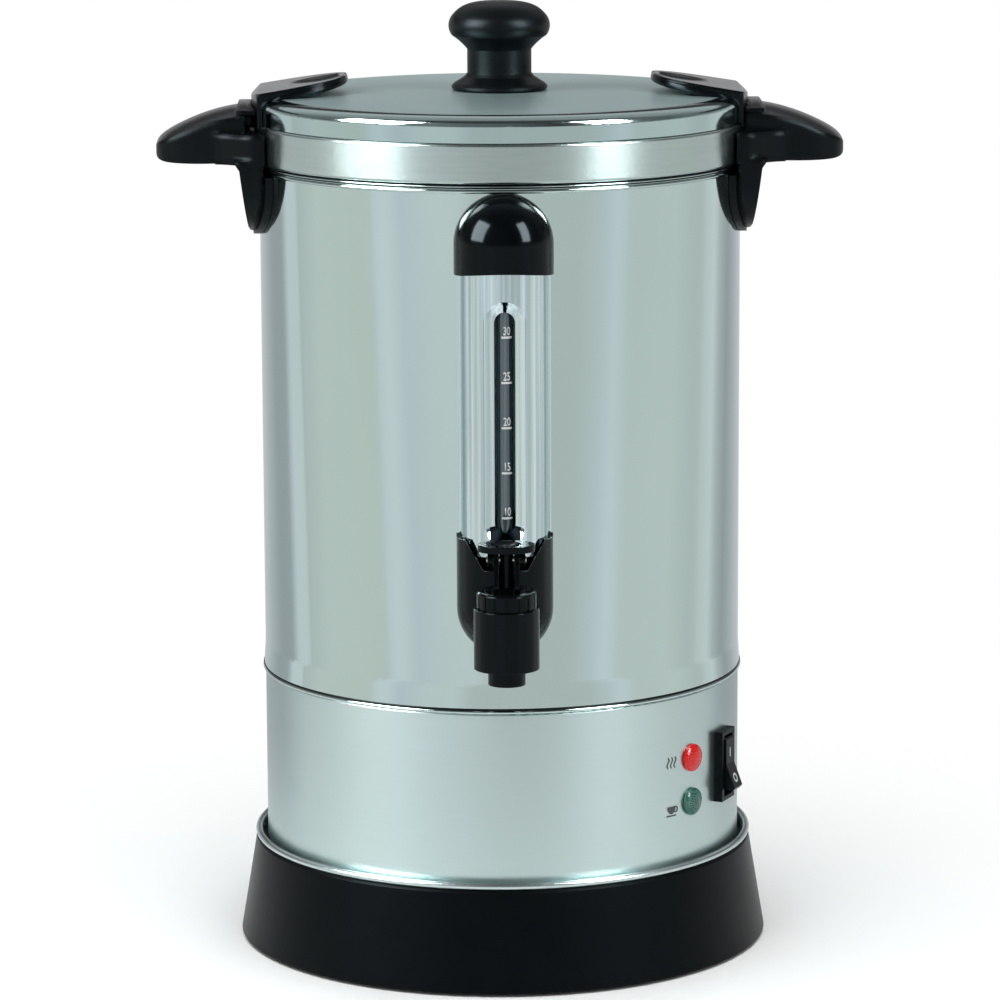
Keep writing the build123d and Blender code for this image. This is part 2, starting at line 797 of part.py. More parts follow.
def grip_arm():
    """The arm, lofted through sections that drop and narrow towards a rounded tip."""
    length = grip_reach - arm_start
    stations = [
        # share of the arm's length, narrowing, share of the fall, lift of the underside, crown
        (0.35, -1.0, 0.32, 0.0, crown),
        (0.68, 1.0, 0.66, 0.0, crown),
        (0.87, 4.5, 0.93, 0.4, 0.8 * crown),
        (0.97, 9.0, 1.14, 1.6, 0.5 * crown),
        (1.0, 13.0, 1.3, 4.0, 0.2 * crown),
    ]
    sections = [
        grip_section(arm_start - hood_len, grip_half_w + 3, grip_top_z - 1.0, grip_under_z, crown),
        grip_section(arm_start, grip_half_w + 2, grip_top_z - 1.6, grip_under_z, crown),
    ]
    for share, narrowing, drop, lift, sag in stations:
        sections.append(grip_section(arm_start + share * length, grip_half_w - narrowing,
                                     grip_top_z - drop * grip_fall, grip_under_z + lift, sag))
    return loft(sections)


def grip_hood():
    """The raised bridge over the slot for the lid's tongue."""
    section = grip_section(arm_start - hood_len, grip_half_w + 2, grip_top_z, slot_z + slot_h, crown - 1.2)
    return extrude(section, hood_len)


def shield_outline(half_w, low, high):
    """Front view of the leg and its pad: straight top, rounded bottom."""
    corner = half_w * 0.62
    low_y = half_w * 0.30
    return make_face(
        Polyline((-half_w, high), (half_w, high), (half_w, high - 6))
        + Bezier((half_w, high - 6), (half_w - 1, low + 8), (corner, low), (low_y, low))
        + Line((low_y, low), (-low_y, low))
        + Bezier((-low_y, low), (-corner, low), (-half_w + 1, low + 8), (-half_w, high - 6))
        + Line((-half_w, high - 6), (-half_w, high)))


side_view = Plane(origin=(0, 0, 0), x_dir=(0, 1, 0), z_dir=(1, 0, 0))


def handle_leg():
    """The leg: a block from the pad outwards that thins towards its lower end."""
    outline = extrude(side_view * shield_outline(root_half_w, leg_z, grip_under_z + 2), beyond)
    profile = make_face(front * Polyline(
        (behind, leg_z - 1), (leg_r - 4.6, leg_z - 1), (leg_r - 3.2, leg_z + 3), (leg_r, grip_under_z - 2),
        (leg_r + 3.4, grip_under_z + 3), (behind, grip_under_z + 3), close=True))
    return outline & extrude(profile, 60, both=True)


def grip_root():
    """The wide root at the rim that eases into the arm, between the underside and the slot floor."""
    edge_x = body_r - 10
    plan = make_face(
        Line((edge_x, -root_half_w), (leg_r - 8, -root_half_w))
        + Bezier((leg_r - 8, -root_half_w), (leg_r - 1, -root_half_w), (leg_r + 2, -31), (leg_r + 11, -29))
        + Line((leg_r + 11, -29), (leg_r + 11, 29))
        + Bezier((leg_r + 11, 29), (leg_r + 2, 31), (leg_r - 1, root_half_w), (leg_r - 8, root_half_w))
        + Line((leg_r - 8, root_half_w), (edge_x, root_half_w))
        + Line((edge_x, root_half_w), (edge_x, -root_half_w)))
    return extrude(Pos(0, 0, grip_under_z) * plan, slot_z - grip_under_z)


def handle():
    """A grip with its leg. The slot for the lid's tongue is closed towards -Y and open towards +Y."""
    whole = grip_arm() + grip_hood() + grip_root() + handle_leg()
    whole = whole - tank_plug(seat_gap + pad_t + seat_gap)
    whole = whole - post(rim_r + running_gap, pad_top_z, slot_z)
    hood_r = lug_outer_r + 0.5
    whole = whole - post(hood_r, slot_z - 0.1, grip_top_z + 5)
    slot = pipe(slot_r, hood_r - 2, slot_z, slot_z + slot_h)
    whole = whole - (slot & block(behind, beyond, -slot_stop_y, 60, slot_z - 1, slot_z + slot_h + 1))
    for sign in (-1, 1):
        bore = along_x(screw_r + fit, body_r, leg_r - 2.0, z=handle_screw_z)
        whole = whole - spin(bore, sign * handle_screw_deg)
    return whole


def handle_pad():
    """The saddle pad between a handle and the tank wall."""
    outline = extrude(side_view * shield_outline(pad_half_w, leg_z - 1.5, pad_top_z), beyond)
    shell = pipe(body_r + seat_gap + pad_t, body_r + seat_gap, leg_z - 5, pad_top_z)
    pad = outline & shell
    for sign in (-1, 1):
        bore = along_x(screw_r + fit, body_r - 2, body_r + 6, z=handle_screw_z)
        pad = pad - spin(bore, sign * handle_screw_deg)
    return pad


head_seat_r = sqrt(tank_inner_r ** 2 - screw_head_r ** 2) - closing_gap


def handle_screws():
    """Screws from inside the tank through its wall into the legs of both handles."""
    screw = Pos(head_seat_r, 0, handle_screw_z) * Rot(0, 90, 0) * pan_screw(leg_r - 3 - head_seat_r)
    return joined([spin(screw, angle) for angle in handle_screw_angles()])


# ================= sight gauge =================
def half_round(half_w, low, high):
    """A D-shaped bar standing against the tank: straight sides and a round front."""
    bar = post(half_w, low, high, 0, -gauge_centre)
    return bar + block(-half_w, half_w, -gauge_centre, -body_r + 12, low, high)


def slot_face(width, low, high, y):
    """An upright slot with round ends, in the plane at the given distance in front of the axis."""
    plane = Plane(origin=(0, -y, (low + high) / 2), x_dir=(1, 0, 0), z_dir=(0, -1, 0))
    return plane * (Rot(0, 0, 90) * SlotOverall(high - low, width))


def shield_lips():
    """Narrow flanges along the shield's sides that lie against the tank."""
    low = cover_z + running_gap
    top = cap_z - cap_sag - running_gap
    outer_w = shield_half_w + shield_lip
    inner_w = shield_half_w - shield_t
    lips = pipe(body_r + seat_gap + 0.8, body_r + seat_gap, low, top)
    lips = lips & block(-outer_w, outer_w, -beyond, -behind, low, top)
    return lips - block(-inner_w, inner_w, -beyond, -behind, low - 1, top + 1)


def gauge_shield():
    """A bright channel round the sight tube, with a bevelled window in its front."""
    envelope = half_round(shield_half_w, shield_z, shield_top_z)
    shell = envelope - half_round(shield_half_w - shield_t, shield_z - 1, shield_top_z + 1)
    shell = shell + shield_lips()
    shell = shell - extrude(slot_face(window_w, window_z, window_top_z, behind), beyond)
    frame = window_funnel(shield_t) - window_funnel(0)
    shell = shell + (frame & envelope)
    return shell - tank_plug(seat_gap)


def window_funnel(growth):
    """The bevelled well of the window, from the wide outline at the front to the opening."""
    slope = (window_w - opening_w) / 2 / window_depth
    spread = slope * window_flare + growth
    wide = slot_face(window_w + 2 * spread, window_z - spread, window_top_z + spread, shield_front + 1)
    opening_z = window_z + opening_inset - growth
    opening_top_z = window_top_z - opening_inset + growth
    back_y = shield_front - shield_t - window_depth
    return loft([wide, slot_face(opening_w + 2 * growth, opening_z, opening_top_z, back_y)])


def sight_tube():
    tube = pipe(tube_r, tube_r - tube_wall, tube_z, tube_top_z)
    return Pos(0, -tube_y, 0) * tube


def tube_seal(low):
    return Pos(0, -tube_y, 0) * pipe(seal_r, tube_r + seat_gap, low, low + seal_h)


def cap_form(half_w):
    """The form of the gauge cap at a half width: a D-shaped bar with a domed top."""
    bar = half_round(half_w, cap_z - cap_sag - 1, cap_dome_z)
    dome = Pos(0, -gauge_centre, cap_dome_z) * Sphere(half_w)
    back = along_y(half_w, body_r - 12, gauge_centre, z=cap_dome_z)
    return bar + dome + back


def gauge_cap():
    whole = cap_form(cap_half_w) - cap_form(shield_half_w + shield_play)
    stop_z = tube_top_z + 3
    inside = cap_form(cap_half_w - 0.5)
    boss = along_y(5, body_r, gauge_centre + 14, z=cap_screw_z) & inside
    holder = post(seal_r + seat_gap + holder_wall, tube_top_z - seal_h - 1, stop_z, 0, -tube_y)
    bridge = block(-3, 3, -tube_y - 2, -body_r, stop_z - 3, cap_screw_z) & inside
    whole = whole + boss + bridge
    sag_r = (cap_half_w ** 2 + cap_sag ** 2) / (2 * cap_sag)
    whole = whole - along_y(sag_r, body_r - 12, cap_front + 5, z=cap_z - sag_r)
    whole = whole + holder
    whole = whole - post(seal_r + seat_gap, tube_top_z - seal_h - 2, tube_top_z + seat_gap, 0, -tube_y)
    whole = whole - along_y(screw_r + fit, body_r - 5, body_r + 14, z=cap_screw_z)
    return whole - tank_plug(seat_gap)


def cap_screw():
    return Pos(0, -head_seat_r, cap_screw_z) * Rot(90, 0, 0) * pan_screw(cap_screw_len)


def cover_form(half_w, top_z):
    """The form of the gauge's base cover: a D-shaped bar with a rounded lower end."""
    bar = half_round(half_w, cover_round_z, top_z)
    dome = Pos(0, -gauge_centre, cover_round_z) * Sphere(half_w)
    back = along_y(half_w, body_r - 12, gauge_centre, z=cover_round_z)
    return bar + dome + back


def gauge_base_cover():
    whole = cover_form(cover_half_w, cover_z) - cover_form(shield_half_w + shield_play, cover_z + 1)
    notch = make_face(front * Polyline(
        (-notch_half_w, cover_z + 1), (-notch_low_half_w, cover_notch_z), (notch_low_half_w, cover_notch_z),
        (notch_half_w, cover_z + 1), close=True))
    whole = whole - extrude(notch, beyond)
    whole = whole - along_y(tap_neck_r + seat_gap, body_r + 8, cover_front + 5, z=shank_z)
    return whole - tank_plug(seat_gap)


# ================= tap =================
def tap_shank():
    """Hollow shank through the tank wall, with a tee block that feeds the sight tube."""
    shank = along_y(shank_r, shank_end, shank_front, z=shank_z)
    tee = post(tee_half_w, shank_z, tube_z + seal_h, 0, -tube_y)
    tee = tee + block(-tee_half_w, tee_half_w, -tube_y, -body_r, shank_z, tube_z + seal_h)
    whole = shank + (tee - tank_plug(gasket_out_t + 2 * seat_gap))
    whole = whole - along_y(shank_bore_r, shank_end - 1, shank_front + 1, z=shank_z)
    whole = whole - post(3.0, shank_z, tube_z + 1, 0, -tube_y)
    return whole - post(seal_r + seat_gap, tube_z - 0.5, tube_z + seal_h + 1, 0, -tube_y)


def shank_gaskets():
    """Silicone washers on both sides of the tank wall."""
    low = shank_z - 20
    high = shank_z + 20
    disc = along_y(gasket_r, body_r - 14, body_r + 10, z=shank_z)
    disc = disc - along_y(shank_r + fit, body_r - 20, body_r + 20, z=shank_z)
    inner = disc & block(-20, 20, -body_r, gasket_in_t - tank_inner_r, low, high)
    inner = inner & post(tank_inner_r - seat_gap / 2, low, high)
    outer = disc & pipe(body_r + gasket_out_t, body_r + seat_gap / 2, low, high)
    return joined([inner, outer])


def shank_nut():
    nut = Rot(90, 0, 0) * hex_nut(gasket_r + 1, shank_nut_h, shank_r + fit)
    return Pos(0, gasket_in_t + shank_nut_h - tank_inner_r, shank_z) * nut


neck_start = tube_y + tee_half_w + 1.1


def tap_body():
    outer = post(cup_r, cup_z, cup_top_z, 0, -tap_y) + post(spout_r, spout_z, cup_z + 1, 0, -tap_y)
    neck = along_y(tap_neck_r, neck_start, tap_y - 4, z=shank_z)
    whole = outer + neck
    whole = whole - post(cup_r - cup_wall, cup_z + cup_wall, cup_top_z + 1, 0, -tap_y)
    whole = whole - post(spout_bore_r, spout_z - 1, cup_z + cup_wall + 1, 0, -tap_y)
    whole = whole - along_y(shank_r + fit, neck_start - 1, shank_front, z=shank_z)
    return whole - along_y(shank_bore_r, shank_front - 2, tap_y - 6, z=shank_z)


def tap_bonnet():
    """The ribbed cap nut that closes the cup and guides the valve stem."""
    top_z = cup_top_z + bonnet_h
    cap = turned([(stem_r + fit, cup_top_z), (bonnet_r, cup_top_z), (bonnet_r, top_z - 0.8),
                  (bonnet_r - 0.8, top_z), (stem_r + fit, top_z)])
    for index in range(bonnet_ribs):
        groove = block(bonnet_r - 0.5, bonnet_r + 1, -0.5, 0.5, cup_top_z - 1, top_z - 1.4)
        cap = cap - spin(groove, index * 360 / bonnet_ribs)
    thread_r = cup_r - cup_wall - fit
    thread = pipe(thread_r, thread_r - thread_wall, cup_top_z - thread_h, cup_top_z)
    return Pos(0, -tap_y, 0) * (cap + thread)


stem_z = cup_z + cup_wall + 3.0


def valve_stem():
    stem = post(stem_r, stem_z, stem_top_z, 0, -tap_y)
    return stem - along_x(pin_r + fit, -5, 5, -tap_y, pin_z)


def seat_cup():
    """Silicone cup on the foot of the stem that closes the outlet."""
    low = cup_z + cup_wall + running_gap
    top = low + seat_h
    shape = turned([(0, low), (seat_r - 1.5, low), (seat_r, low + 1.5), (seat_r - 2, top), (0, top)])
    return Pos(0, -tap_y, 0) * (shape - post(stem_r + fit, stem_z, top + 1))


def lever_cheek():
    """Side view of a cheek: a rounded cam heel to the front, and a foot that clears the bonnet behind."""
    heel_z = cup_top_z + bonnet_h + running_gap
    front_y = -tap_y - cam_y
    back_y = -tap_y + cam_y - 2
    corner = cam_r * (1 - sqrt(0.5))
    sides = Polyline((front_y, heel_z + cam_r), (-tap_y - 5.2, lever_z), (-tap_y + 5.2, lever_z),
                     (back_y, heel_z + cam_r))
    foot = Bezier((back_y, heel_z + cam_r), (back_y, heel_z), (-tap_y + 1, heel_z), (-tap_y, heel_z))
    sole = Line((-tap_y, heel_z), (front_y + cam_r, heel_z))
    heel = ThreePointArc((front_y + cam_r, heel_z), (front_y + corner, heel_z + corner),
                         (front_y, heel_z + cam_r))
    return make_face(side_view * (sides + foot + sole + heel))


def tap_lever():
    """Thumb plate on two cheeks that straddle the stem; the cheeks' cam heels stand on the bonnet."""
    inner_x = stem_r + running_gap
    cheek_x = inner_x + cheek_t / 2
    plate_y = -tap_y - 2
    plate = Pos(0, plate_y, lever_z) * extrude(Ellipse(lever_half_w, lever_half_d), lever_t)
    whole = plate - Pos(0, plate_y, lever_z + lever_t + thumb_r - 0.8) * Sphere(thumb_r)
    for side in (-1, 1):
        whole = whole + extrude(Pos(side * cheek_x, 0, 0) * lever_cheek(), cheek_t / 2, both=True)
    ears = along_x(2.9, -pin_len / 2 + 0.5, pin_len / 2 - 0.5, -tap_y, pin_z)
    ears = ears - block(-inner_x, inner_x, -tap_y - 4, -tap_y + 4, pin_z - 4, pin_z + 4)
    whole = whole + ears
    return whole - along_x(pin_r + fit, -20, 20, -tap_y, pin_z)


def lever_pin():
    return along_x(pin_r, -pin_len / 2, pin_len / 2, -tap_y, pin_z)


# ================= switch, lights, inlet =================
inlet_screw_y = inlet_half_w + 3.6


def curved_plate(half_w, half_h, thickness):
    """A plate that follows the housing's wall, modelled round +X."""
    ring = pipe(body_r + seat_gap + thickness, body_r + seat_gap, -half_h, half_h)
    return ring & block(behind, beyond, -half_w, half_w, -half_h, half_h)


rocker_x = body_r + 1.0
cavity_half_w = rocker_w / 2 + running_gap
cavity_half_h = rocker_half_h + 1.7
pivot_half_len = bezel_w / 2 - 2.4


def pivot_bar(radius, half_len):
    """The rocker's pivot, across the switch."""
    return Rot(90, 0, 0) * Cylinder(radius, 2 * half_len)


def switch_bezel():
    """The switch's body in the wall, with a raised frame, a cavity for the rocker and two blades."""
    half_w = bezel_w / 2
    half_h = bezel_h / 2
    frame = block(body_r - 4, body_r + bezel_proud, -half_w, half_w, -half_h, half_h)
    frame = frame - post(body_r + seat_gap, -bezel_h, bezel_h)
    body_half_w = half_w - bezel_overlap - seat_gap
    body_half_h = half_h - bezel_overlap - seat_gap
    whole = frame + block(body_r - switch_depth, body_r + bezel_proud - 1, -body_half_w, body_half_w,
                          -body_half_h, body_half_h)
    whole = whole - block(rocker_x - 7.5, body_r + 20, -cavity_half_w, cavity_half_w,
                          -cavity_half_h, cavity_half_h)
    whole = whole - Pos(rocker_x, 0, 0) * pivot_bar(pivot_r + fit, pivot_half_len + seat_gap)
    for side in (-1, 1):
        whole = whole + block(body_r - switch_depth - 7, body_r - switch_depth, -2.4, 2.4,
                              side * 8 - 0.4, side * 8 + 0.4)
    return on_wall(switch_deg, switch_z, whole)


def switch_rocker():
    """A rocker that rests with its upper end pressed in."""
    half = rocker_half_h
    shape = make_face(front * Polyline(
        (-1.6, -half + 2.2), (rocker_tip - 1.4, -half), (rocker_tip, -half + 1.2), (rocker_waist, 0),
        (rocker_tip, half - 1.2), (rocker_tip - 1.4, half), (-1.6, half - 2.2), (-4.2, 3), (-4.2, -3),
        close=True))
    body = extrude(shape, rocker_w / 2, both=True) + pivot_bar(pivot_r, pivot_half_len)
    return on_wall(switch_deg, switch_z, Pos(rocker_x, 0, 0) * Rot(0, -rocker_tilt, 0) * body)


lens_stem = sheet + 4 * seat_gap


def lens(z):
    """A domed lens with a stem in the housing's hole."""
    profile = make_face(front * (
        Polyline((0, 0), (lens_r, 0), (lens_r, lens_rim_h))
        + Bezier((lens_r, lens_rim_h), (lens_r - 0.4, 2.0), (lens_r - 3, lens_proud), (0, lens_proud))
        + Line((0, lens_proud), (0, 0))))
    dome = revolve(profile, Axis.Z) + post(lamp_r, -lens_stem, 0.5)
    seat = body_r + seat_gap
    return on_wall(light_deg, z, Pos(seat, 0, 0) * Rot(0, 90, 0) * dome)


def lamp_holders():
    """Neon lamp holders behind the lenses, each with a ring against the housing's wall."""
    outer_x = body_r + seat_gap - lens_stem
    body = along_x(lamp_r, outer_x - lamp_len, outer_x) + along_x(lamp_r + lamp_ring_w, outer_x - 1, outer_x)
    return joined([on_wall(light_deg, z, body) for z in (red_z, green_z)])


inlet_back_x = body_r - inlet_depth
inlet_pin_spots = (-inlet_pin_pitch, 0, inlet_pin_pitch)


def power_inlet():
    """A recessed appliance inlet, open at the back, with a curved flange."""
    half_w = inlet_half_w - fit
    half_h = inlet_half_h - fit
    whole = block(inlet_back_x, body_r + flange_t, -half_w, half_w, -half_h, half_h)
    whole = whole + curved_plate(flange_half_w, flange_half_h, flange_t)
    hollow_w = inlet_half_w - inlet_wall
    hollow_h = inlet_half_h - inlet_wall
    whole = whole - block(inlet_back_x + 3, body_r + 8, -hollow_w, hollow_w, -hollow_h, hollow_h)
    for y in inlet_pin_spots:
        whole = whole - along_x(small_screw_r + fit, inlet_back_x - 5, inlet_back_x + 5, y=y)
    for side in (-1, 1):
        whole = whole - along_x(small_screw_r + fit, body_r - 8, body_r + 8, y=side * inlet_screw_y)
    return on_wall(90, inlet_z, whole)


def inlet_pins():
    pin = along_x(small_screw_r, inlet_back_x - 6, body_r - 5)
    return joined([on_wall(90, inlet_z, Pos(0, y, 0) * pin) for y in inlet_pin_spots])


def inlet_screws():
    """Two screws through the flange into the housing's wall."""
    flange_r = body_r + seat_gap + flange_t
    seat_x = sqrt(flange_r ** 2 - (inlet_screw_y - inlet_head_r) ** 2) + closing_gap
    screw = along_x(small_screw_r, seat_x - 9, seat_x) + along_x(inlet_head_r, seat_x, seat_x + 1.6)
    return joined([on_wall(90, inlet_z, Pos(0, side * inlet_screw_y, 0) * screw) for side in (-1, 1)])


# ================= brewing set =================
def pump_tube():
    """The riser, with a collar that carries the basket."""
    riser = pipe(pump_r, pump_r - pump_wall, well_z + 1.5, pump_top_z)
    return riser + pipe(pump_r + 4, pump_r - 0.2, basket_z - 2.5, basket_z - seat_gap)


def pump_foot():
    """A bell that stands in the well over the heater and feeds the tube."""
    low = well_z + running_gap
    shoulder_z = low + foot_cone_h
    return turned([(foot_cone_r, low), (foot_cone_r, low + 1.2), (pump_r + 2, shoulder_z),
                   (pump_r + 2, shoulder_z + 8), (pump_r + fit, shoulder_z + 8),
                   (pump_r + fit, shoulder_z - 1), (foot_cone_r - 1.2, low)])


def hole_rings(outer_r, pitch, counts, low, high):
    """Rings of holes from the outermost inwards, with the given number in each."""
    pieces = []
    for row, count in enumerate(counts):
        ring_r = outer_r - row * pitch
        for index in range(count):
            pieces.append(spin(post(basket_hole_r, low, high, ring_r), index * 360 / count))
    return pieces


def coffee_basket():
    """A formed basket whose middle collar slides down over the pump tube."""
    collar_r_in = pump_r + seat_gap
    shell = turned_sheet(
        [(collar_r_in, basket_z + basket_collar_h), (collar_r_in, basket_z), (basket_r - 4, basket_z),
         (basket_r, basket_rim_z), (basket_r + basket_lip, basket_rim_z)],
        [1.2, 6, 1.6], basket_wall, Side.LEFT)
    outer_r = basket_r - basket_hole_margin
    for hole in hole_rings(outer_r, basket_hole_pitch, [16, 12, 8], basket_z - 2, basket_z + 3):
        shell = shell - hole
    return shell


def basket_spreader():
    """A perforated tray that hangs in the basket by its flange and spreads the water."""
    flange_z = basket_rim_z + basket_wall + seat_gap
    low = flange_z - spreader_h
    wall_r = basket_r - basket_wall - 1.2
    tray = turned_sheet(
        [(pump_r + running_gap, low), (wall_r, low), (wall_r, flange_z), (basket_r + basket_lip, flange_z)],
        [1.4, 1.0], basket_wall, Side.LEFT)
    outer_r = basket_r - spreader_hole_margin
    for hole in hole_rings(outer_r, spreader_hole_pitch, [20, 14, 8], low - 2, low + 3):
        tray = tray - hole
    return tray


parts = {
    "base_skirt": base_skirt,
    "bottom_plate": bottom_plate,
    "rubber_feet": rubber_feet,
    "feet_screws": feet_screws,
    "trim_ring": trim_ring,
    "base_housing": base_housing,
    "tank": tank,
    "rim_band": rim_band,
    "brew_heater": brew_heater,
    "heater_clamp": heater_clamp,
    "tie_rod": tie_rod,
    "tie_nuts": tie_nuts,
    "keep_warm_heater": keep_warm_heater,
    "thermostats": thermostats,
    "thermal_fuse": thermal_fuse,
    "terminal_block": terminal_block,
    "wire_harness": wire_harness,
    "lid": lid,
    "right_lid_lug": lid_lug,
    "left_lid_lug": lambda: spin(lid_lug(), 180),
    "lug_screws": lug_screws,
    "knob_collar": knob_collar,
    "knob": knob,
    "knob_washer": knob_washer,
    "knob_screw": knob_screw,
    "right_handle": handle,
    "left_handle": lambda: spin(handle(), 180),
    "right_handle_pad": handle_pad,
    "left_handle_pad": lambda: spin(handle_pad(), 180),
    "handle_screws": handle_screws,
    "gauge_shield": gauge_shield,
    "sight_tube": sight_tube,
    "tube_bottom_seal": lambda: tube_seal(tube_z),
    "tube_top_seal": lambda: tube_seal(tube_top_z - seal_h),
    "gauge_cap": gauge_cap,
    "cap_screw": cap_screw,
    "gauge_base_cover": gauge_base_cover,
    "tap_shank": tap_shank,
    "shank_gaskets": shank_gaskets,
    "shank_nut": shank_nut,
    "tap_body": tap_body,
    "tap_bonnet": tap_bonnet,
    "valve_stem": valve_stem,
    "seat_cup": seat_cup,
    "tap_lever": tap_lever,
    "lever_pin": lever_pin,
    "switch_bezel": switch_bezel,
    "switch_rocker": switch_rocker,
    "red_lens": lambda: lens(red_z),
    "green_lens": lambda: lens(green_z),
    "lamp_holders": lamp_holders,
    "power_inlet": power_inlet,
    "inlet_pins": inlet_pins,
    "inlet_screws": inlet_screws,
    "pump_tube": pump_tube,
    "pump_foot": pump_foot,
    "coffee_basket": coffee_basket,
    "basket_spreader": basket_spreader,
}

os.makedirs("parts", exist_ok=True)
for name, make in parts.items():
    export_step(make(), f"parts/{name}.step")
    print(name)
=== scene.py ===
import json
from math import acos, atan2, cos, pi, radians, sin

import bmesh
import bpy
from mathutils import Matrix, Vector


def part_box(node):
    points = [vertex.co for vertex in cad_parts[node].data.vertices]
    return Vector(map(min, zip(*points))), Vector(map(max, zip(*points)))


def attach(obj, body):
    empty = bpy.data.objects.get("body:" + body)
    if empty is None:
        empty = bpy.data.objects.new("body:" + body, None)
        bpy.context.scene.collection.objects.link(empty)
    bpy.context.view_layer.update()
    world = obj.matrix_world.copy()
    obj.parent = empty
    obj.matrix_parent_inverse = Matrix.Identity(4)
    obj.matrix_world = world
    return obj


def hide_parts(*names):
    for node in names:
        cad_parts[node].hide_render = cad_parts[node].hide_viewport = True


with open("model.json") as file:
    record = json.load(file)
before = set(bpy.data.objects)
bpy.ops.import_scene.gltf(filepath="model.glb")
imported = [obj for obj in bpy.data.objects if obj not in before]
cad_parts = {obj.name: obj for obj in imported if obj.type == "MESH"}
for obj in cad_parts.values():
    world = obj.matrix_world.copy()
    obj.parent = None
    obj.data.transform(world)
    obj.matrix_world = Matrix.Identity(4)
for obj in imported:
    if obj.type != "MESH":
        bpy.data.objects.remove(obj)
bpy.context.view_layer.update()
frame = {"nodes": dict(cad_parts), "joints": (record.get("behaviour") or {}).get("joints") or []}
nodes = frame["nodes"]
scene = bpy.context.scene
print("frame loaded:", len(nodes), "nodes")


# shader maths on sockets, written as plain expressions
class Signal:
    def __init__(self, paint, socket):
        self.paint = paint
        self.socket = socket

    def maths(self, operation, first, second=None):
        values = {0: first} if second is None else {0: first, 1: second}
        return self.paint.node("ShaderNodeMath", {"operation": operation}, values)

    def __add__(self, other):
        return self.maths("ADD", self, other)

    def __radd__(self, other):
        return self.maths("ADD", other, self)

    def __sub__(self, other):
        return self.maths("SUBTRACT", self, other)

    def __rsub__(self, other):
        return self.maths("SUBTRACT", other, self)

    def __mul__(self, other):
        return self.maths("MULTIPLY", self, other)

    def __rmul__(self, other):
        return self.maths("MULTIPLY", other, self)

    def __truediv__(self, other):
        return self.maths("DIVIDE", self, other)

    def __rtruediv__(self, other):
        return self.maths("DIVIDE", other, self)

    def __pow__(self, other):
        return self.maths("POWER", self, other)

    def __rpow__(self, other):
        return self.maths("POWER", other, self)

    def __abs__(self):
        return self.maths("ABSOLUTE", self)

    def over(self, other):
        return self.maths("GREATER_THAN", self, other)

    def angleWith(self, other):
        return self.maths("ARCTAN2", self, other)

    def least(self, other):
        return self.maths("MINIMUM", self, other)

    def most(self, other):
        return self.maths("MAXIMUM", self, other)

    def wave(self):
        return self.maths("SINE", self)


# the node tree of a material or of the world
class Paint:
    def __init__(self, tree):
        self.tree = tree
        tree.nodes.clear()

    # one maker for every node: its type, its settings, its sockets, and the output wanted
    def node(self, kind, settings=None, values=None, output=0):
        made = self.tree.nodes.new(kind)
        for key, value in (settings or {}).items():
            if key == "stops":
                self.setStops(made.color_ramp, value)
            else:
                setattr(made, key, value)
        for key, value in (values or {}).items():
            if isinstance(value, Signal):
                self.tree.links.new(value.socket, made.inputs[key])
            else:
                made.inputs[key].default_value = value
        return Signal(self, made.outputs[output]) if len(made.outputs) else made

    def setStops(self, ramp, stops):
        while len(ramp.elements) < len(stops):
            ramp.elements.new(0.5)
        for element, (place, colour) in zip(ramp.elements, stops):
            element.position = place
            element.color = (*colour, 1.0)

    def split(self, vector):
        made = self.node("ShaderNodeSeparateXYZ", {}, {0: vector})
        outputs = made.socket.node.outputs
        return [Signal(self, outputs[index]) for index in range(3)]

    def join(self, x, y, z):
        return self.node("ShaderNodeCombineXYZ", {}, {0: x, 1: y, 2: z})

    def place(self):
        return self.node("ShaderNodeTexCoord", output="Object")

    def noise(self, vector, scale, detail=3.0, rough=0.5):
        settings = {"noise_dimensions": "3D"}
        values = {"Vector": vector, "Scale": scale, "Detail": detail, "Roughness": rough}
        return self.node("ShaderNodeTexNoise", settings, values)

    def mapped(self, vector, scale=(1, 1, 1), turn=(0, 0, 0)):
        return self.node("ShaderNodeMapping", {}, {"Vector": vector, "Rotation": turn, "Scale": scale})

    # zero up to low, one from high on
    def fade(self, value, low, high):
        settings = {"interpolation_type": "SMOOTHSTEP"}
        return self.node("ShaderNodeMapRange", settings, {0: value, 1: low, 2: high})

    def blend(self, factor, first, second):
        made = self.node("ShaderNodeMix", {"data_type": "RGBA"}, {0: factor}, output=2)
        mix = made.socket.node
        for socket, value in ((mix.inputs[6], first), (mix.inputs[7], second)):
            if isinstance(value, Signal):
                self.tree.links.new(value.socket, socket)
            else:
                socket.default_value = (*value, 1.0)
        return made

    # a rounding above zero softens the moulded edges
    def bump(self, height, strength, distance, rounding=0.0):
        values = {"Height": height, "Strength": strength, "Distance": distance}
        if rounding:
            values["Normal"] = self.node("ShaderNodeBevel", {"samples": 4}, {"Radius": rounding})
        return self.node("ShaderNodeBump", {}, values)

    def surface(self, **sockets):
        named = {key[0].upper() + key[1:]: value for key, value in sockets.items()}
        values = {socketNames.get(key, key): value for key, value in named.items()}
        self.finish(self.node("ShaderNodeBsdfPrincipled", {}, values))

    def finish(self, shader):
        self.node("ShaderNodeOutputMaterial", {}, {"Surface": shader})


socketNames = {
    "Color": "Base Color", "CoatWeight": "Coat Weight", "CoatRoughness": "Coat Roughness",
    "Ior": "IOR", "Glow": "Emission Color", "GlowStrength": "Emission Strength",
    "AnisotropicRotation": "Anisotropic Rotation", "Specular": "Specular IOR Level",
    "SpecularTint": "Specular Tint",
}


def newPaint(name):
    material = bpy.data.materials.new(name)
    material.use_nodes = True
    return material, Paint(material.node_tree)


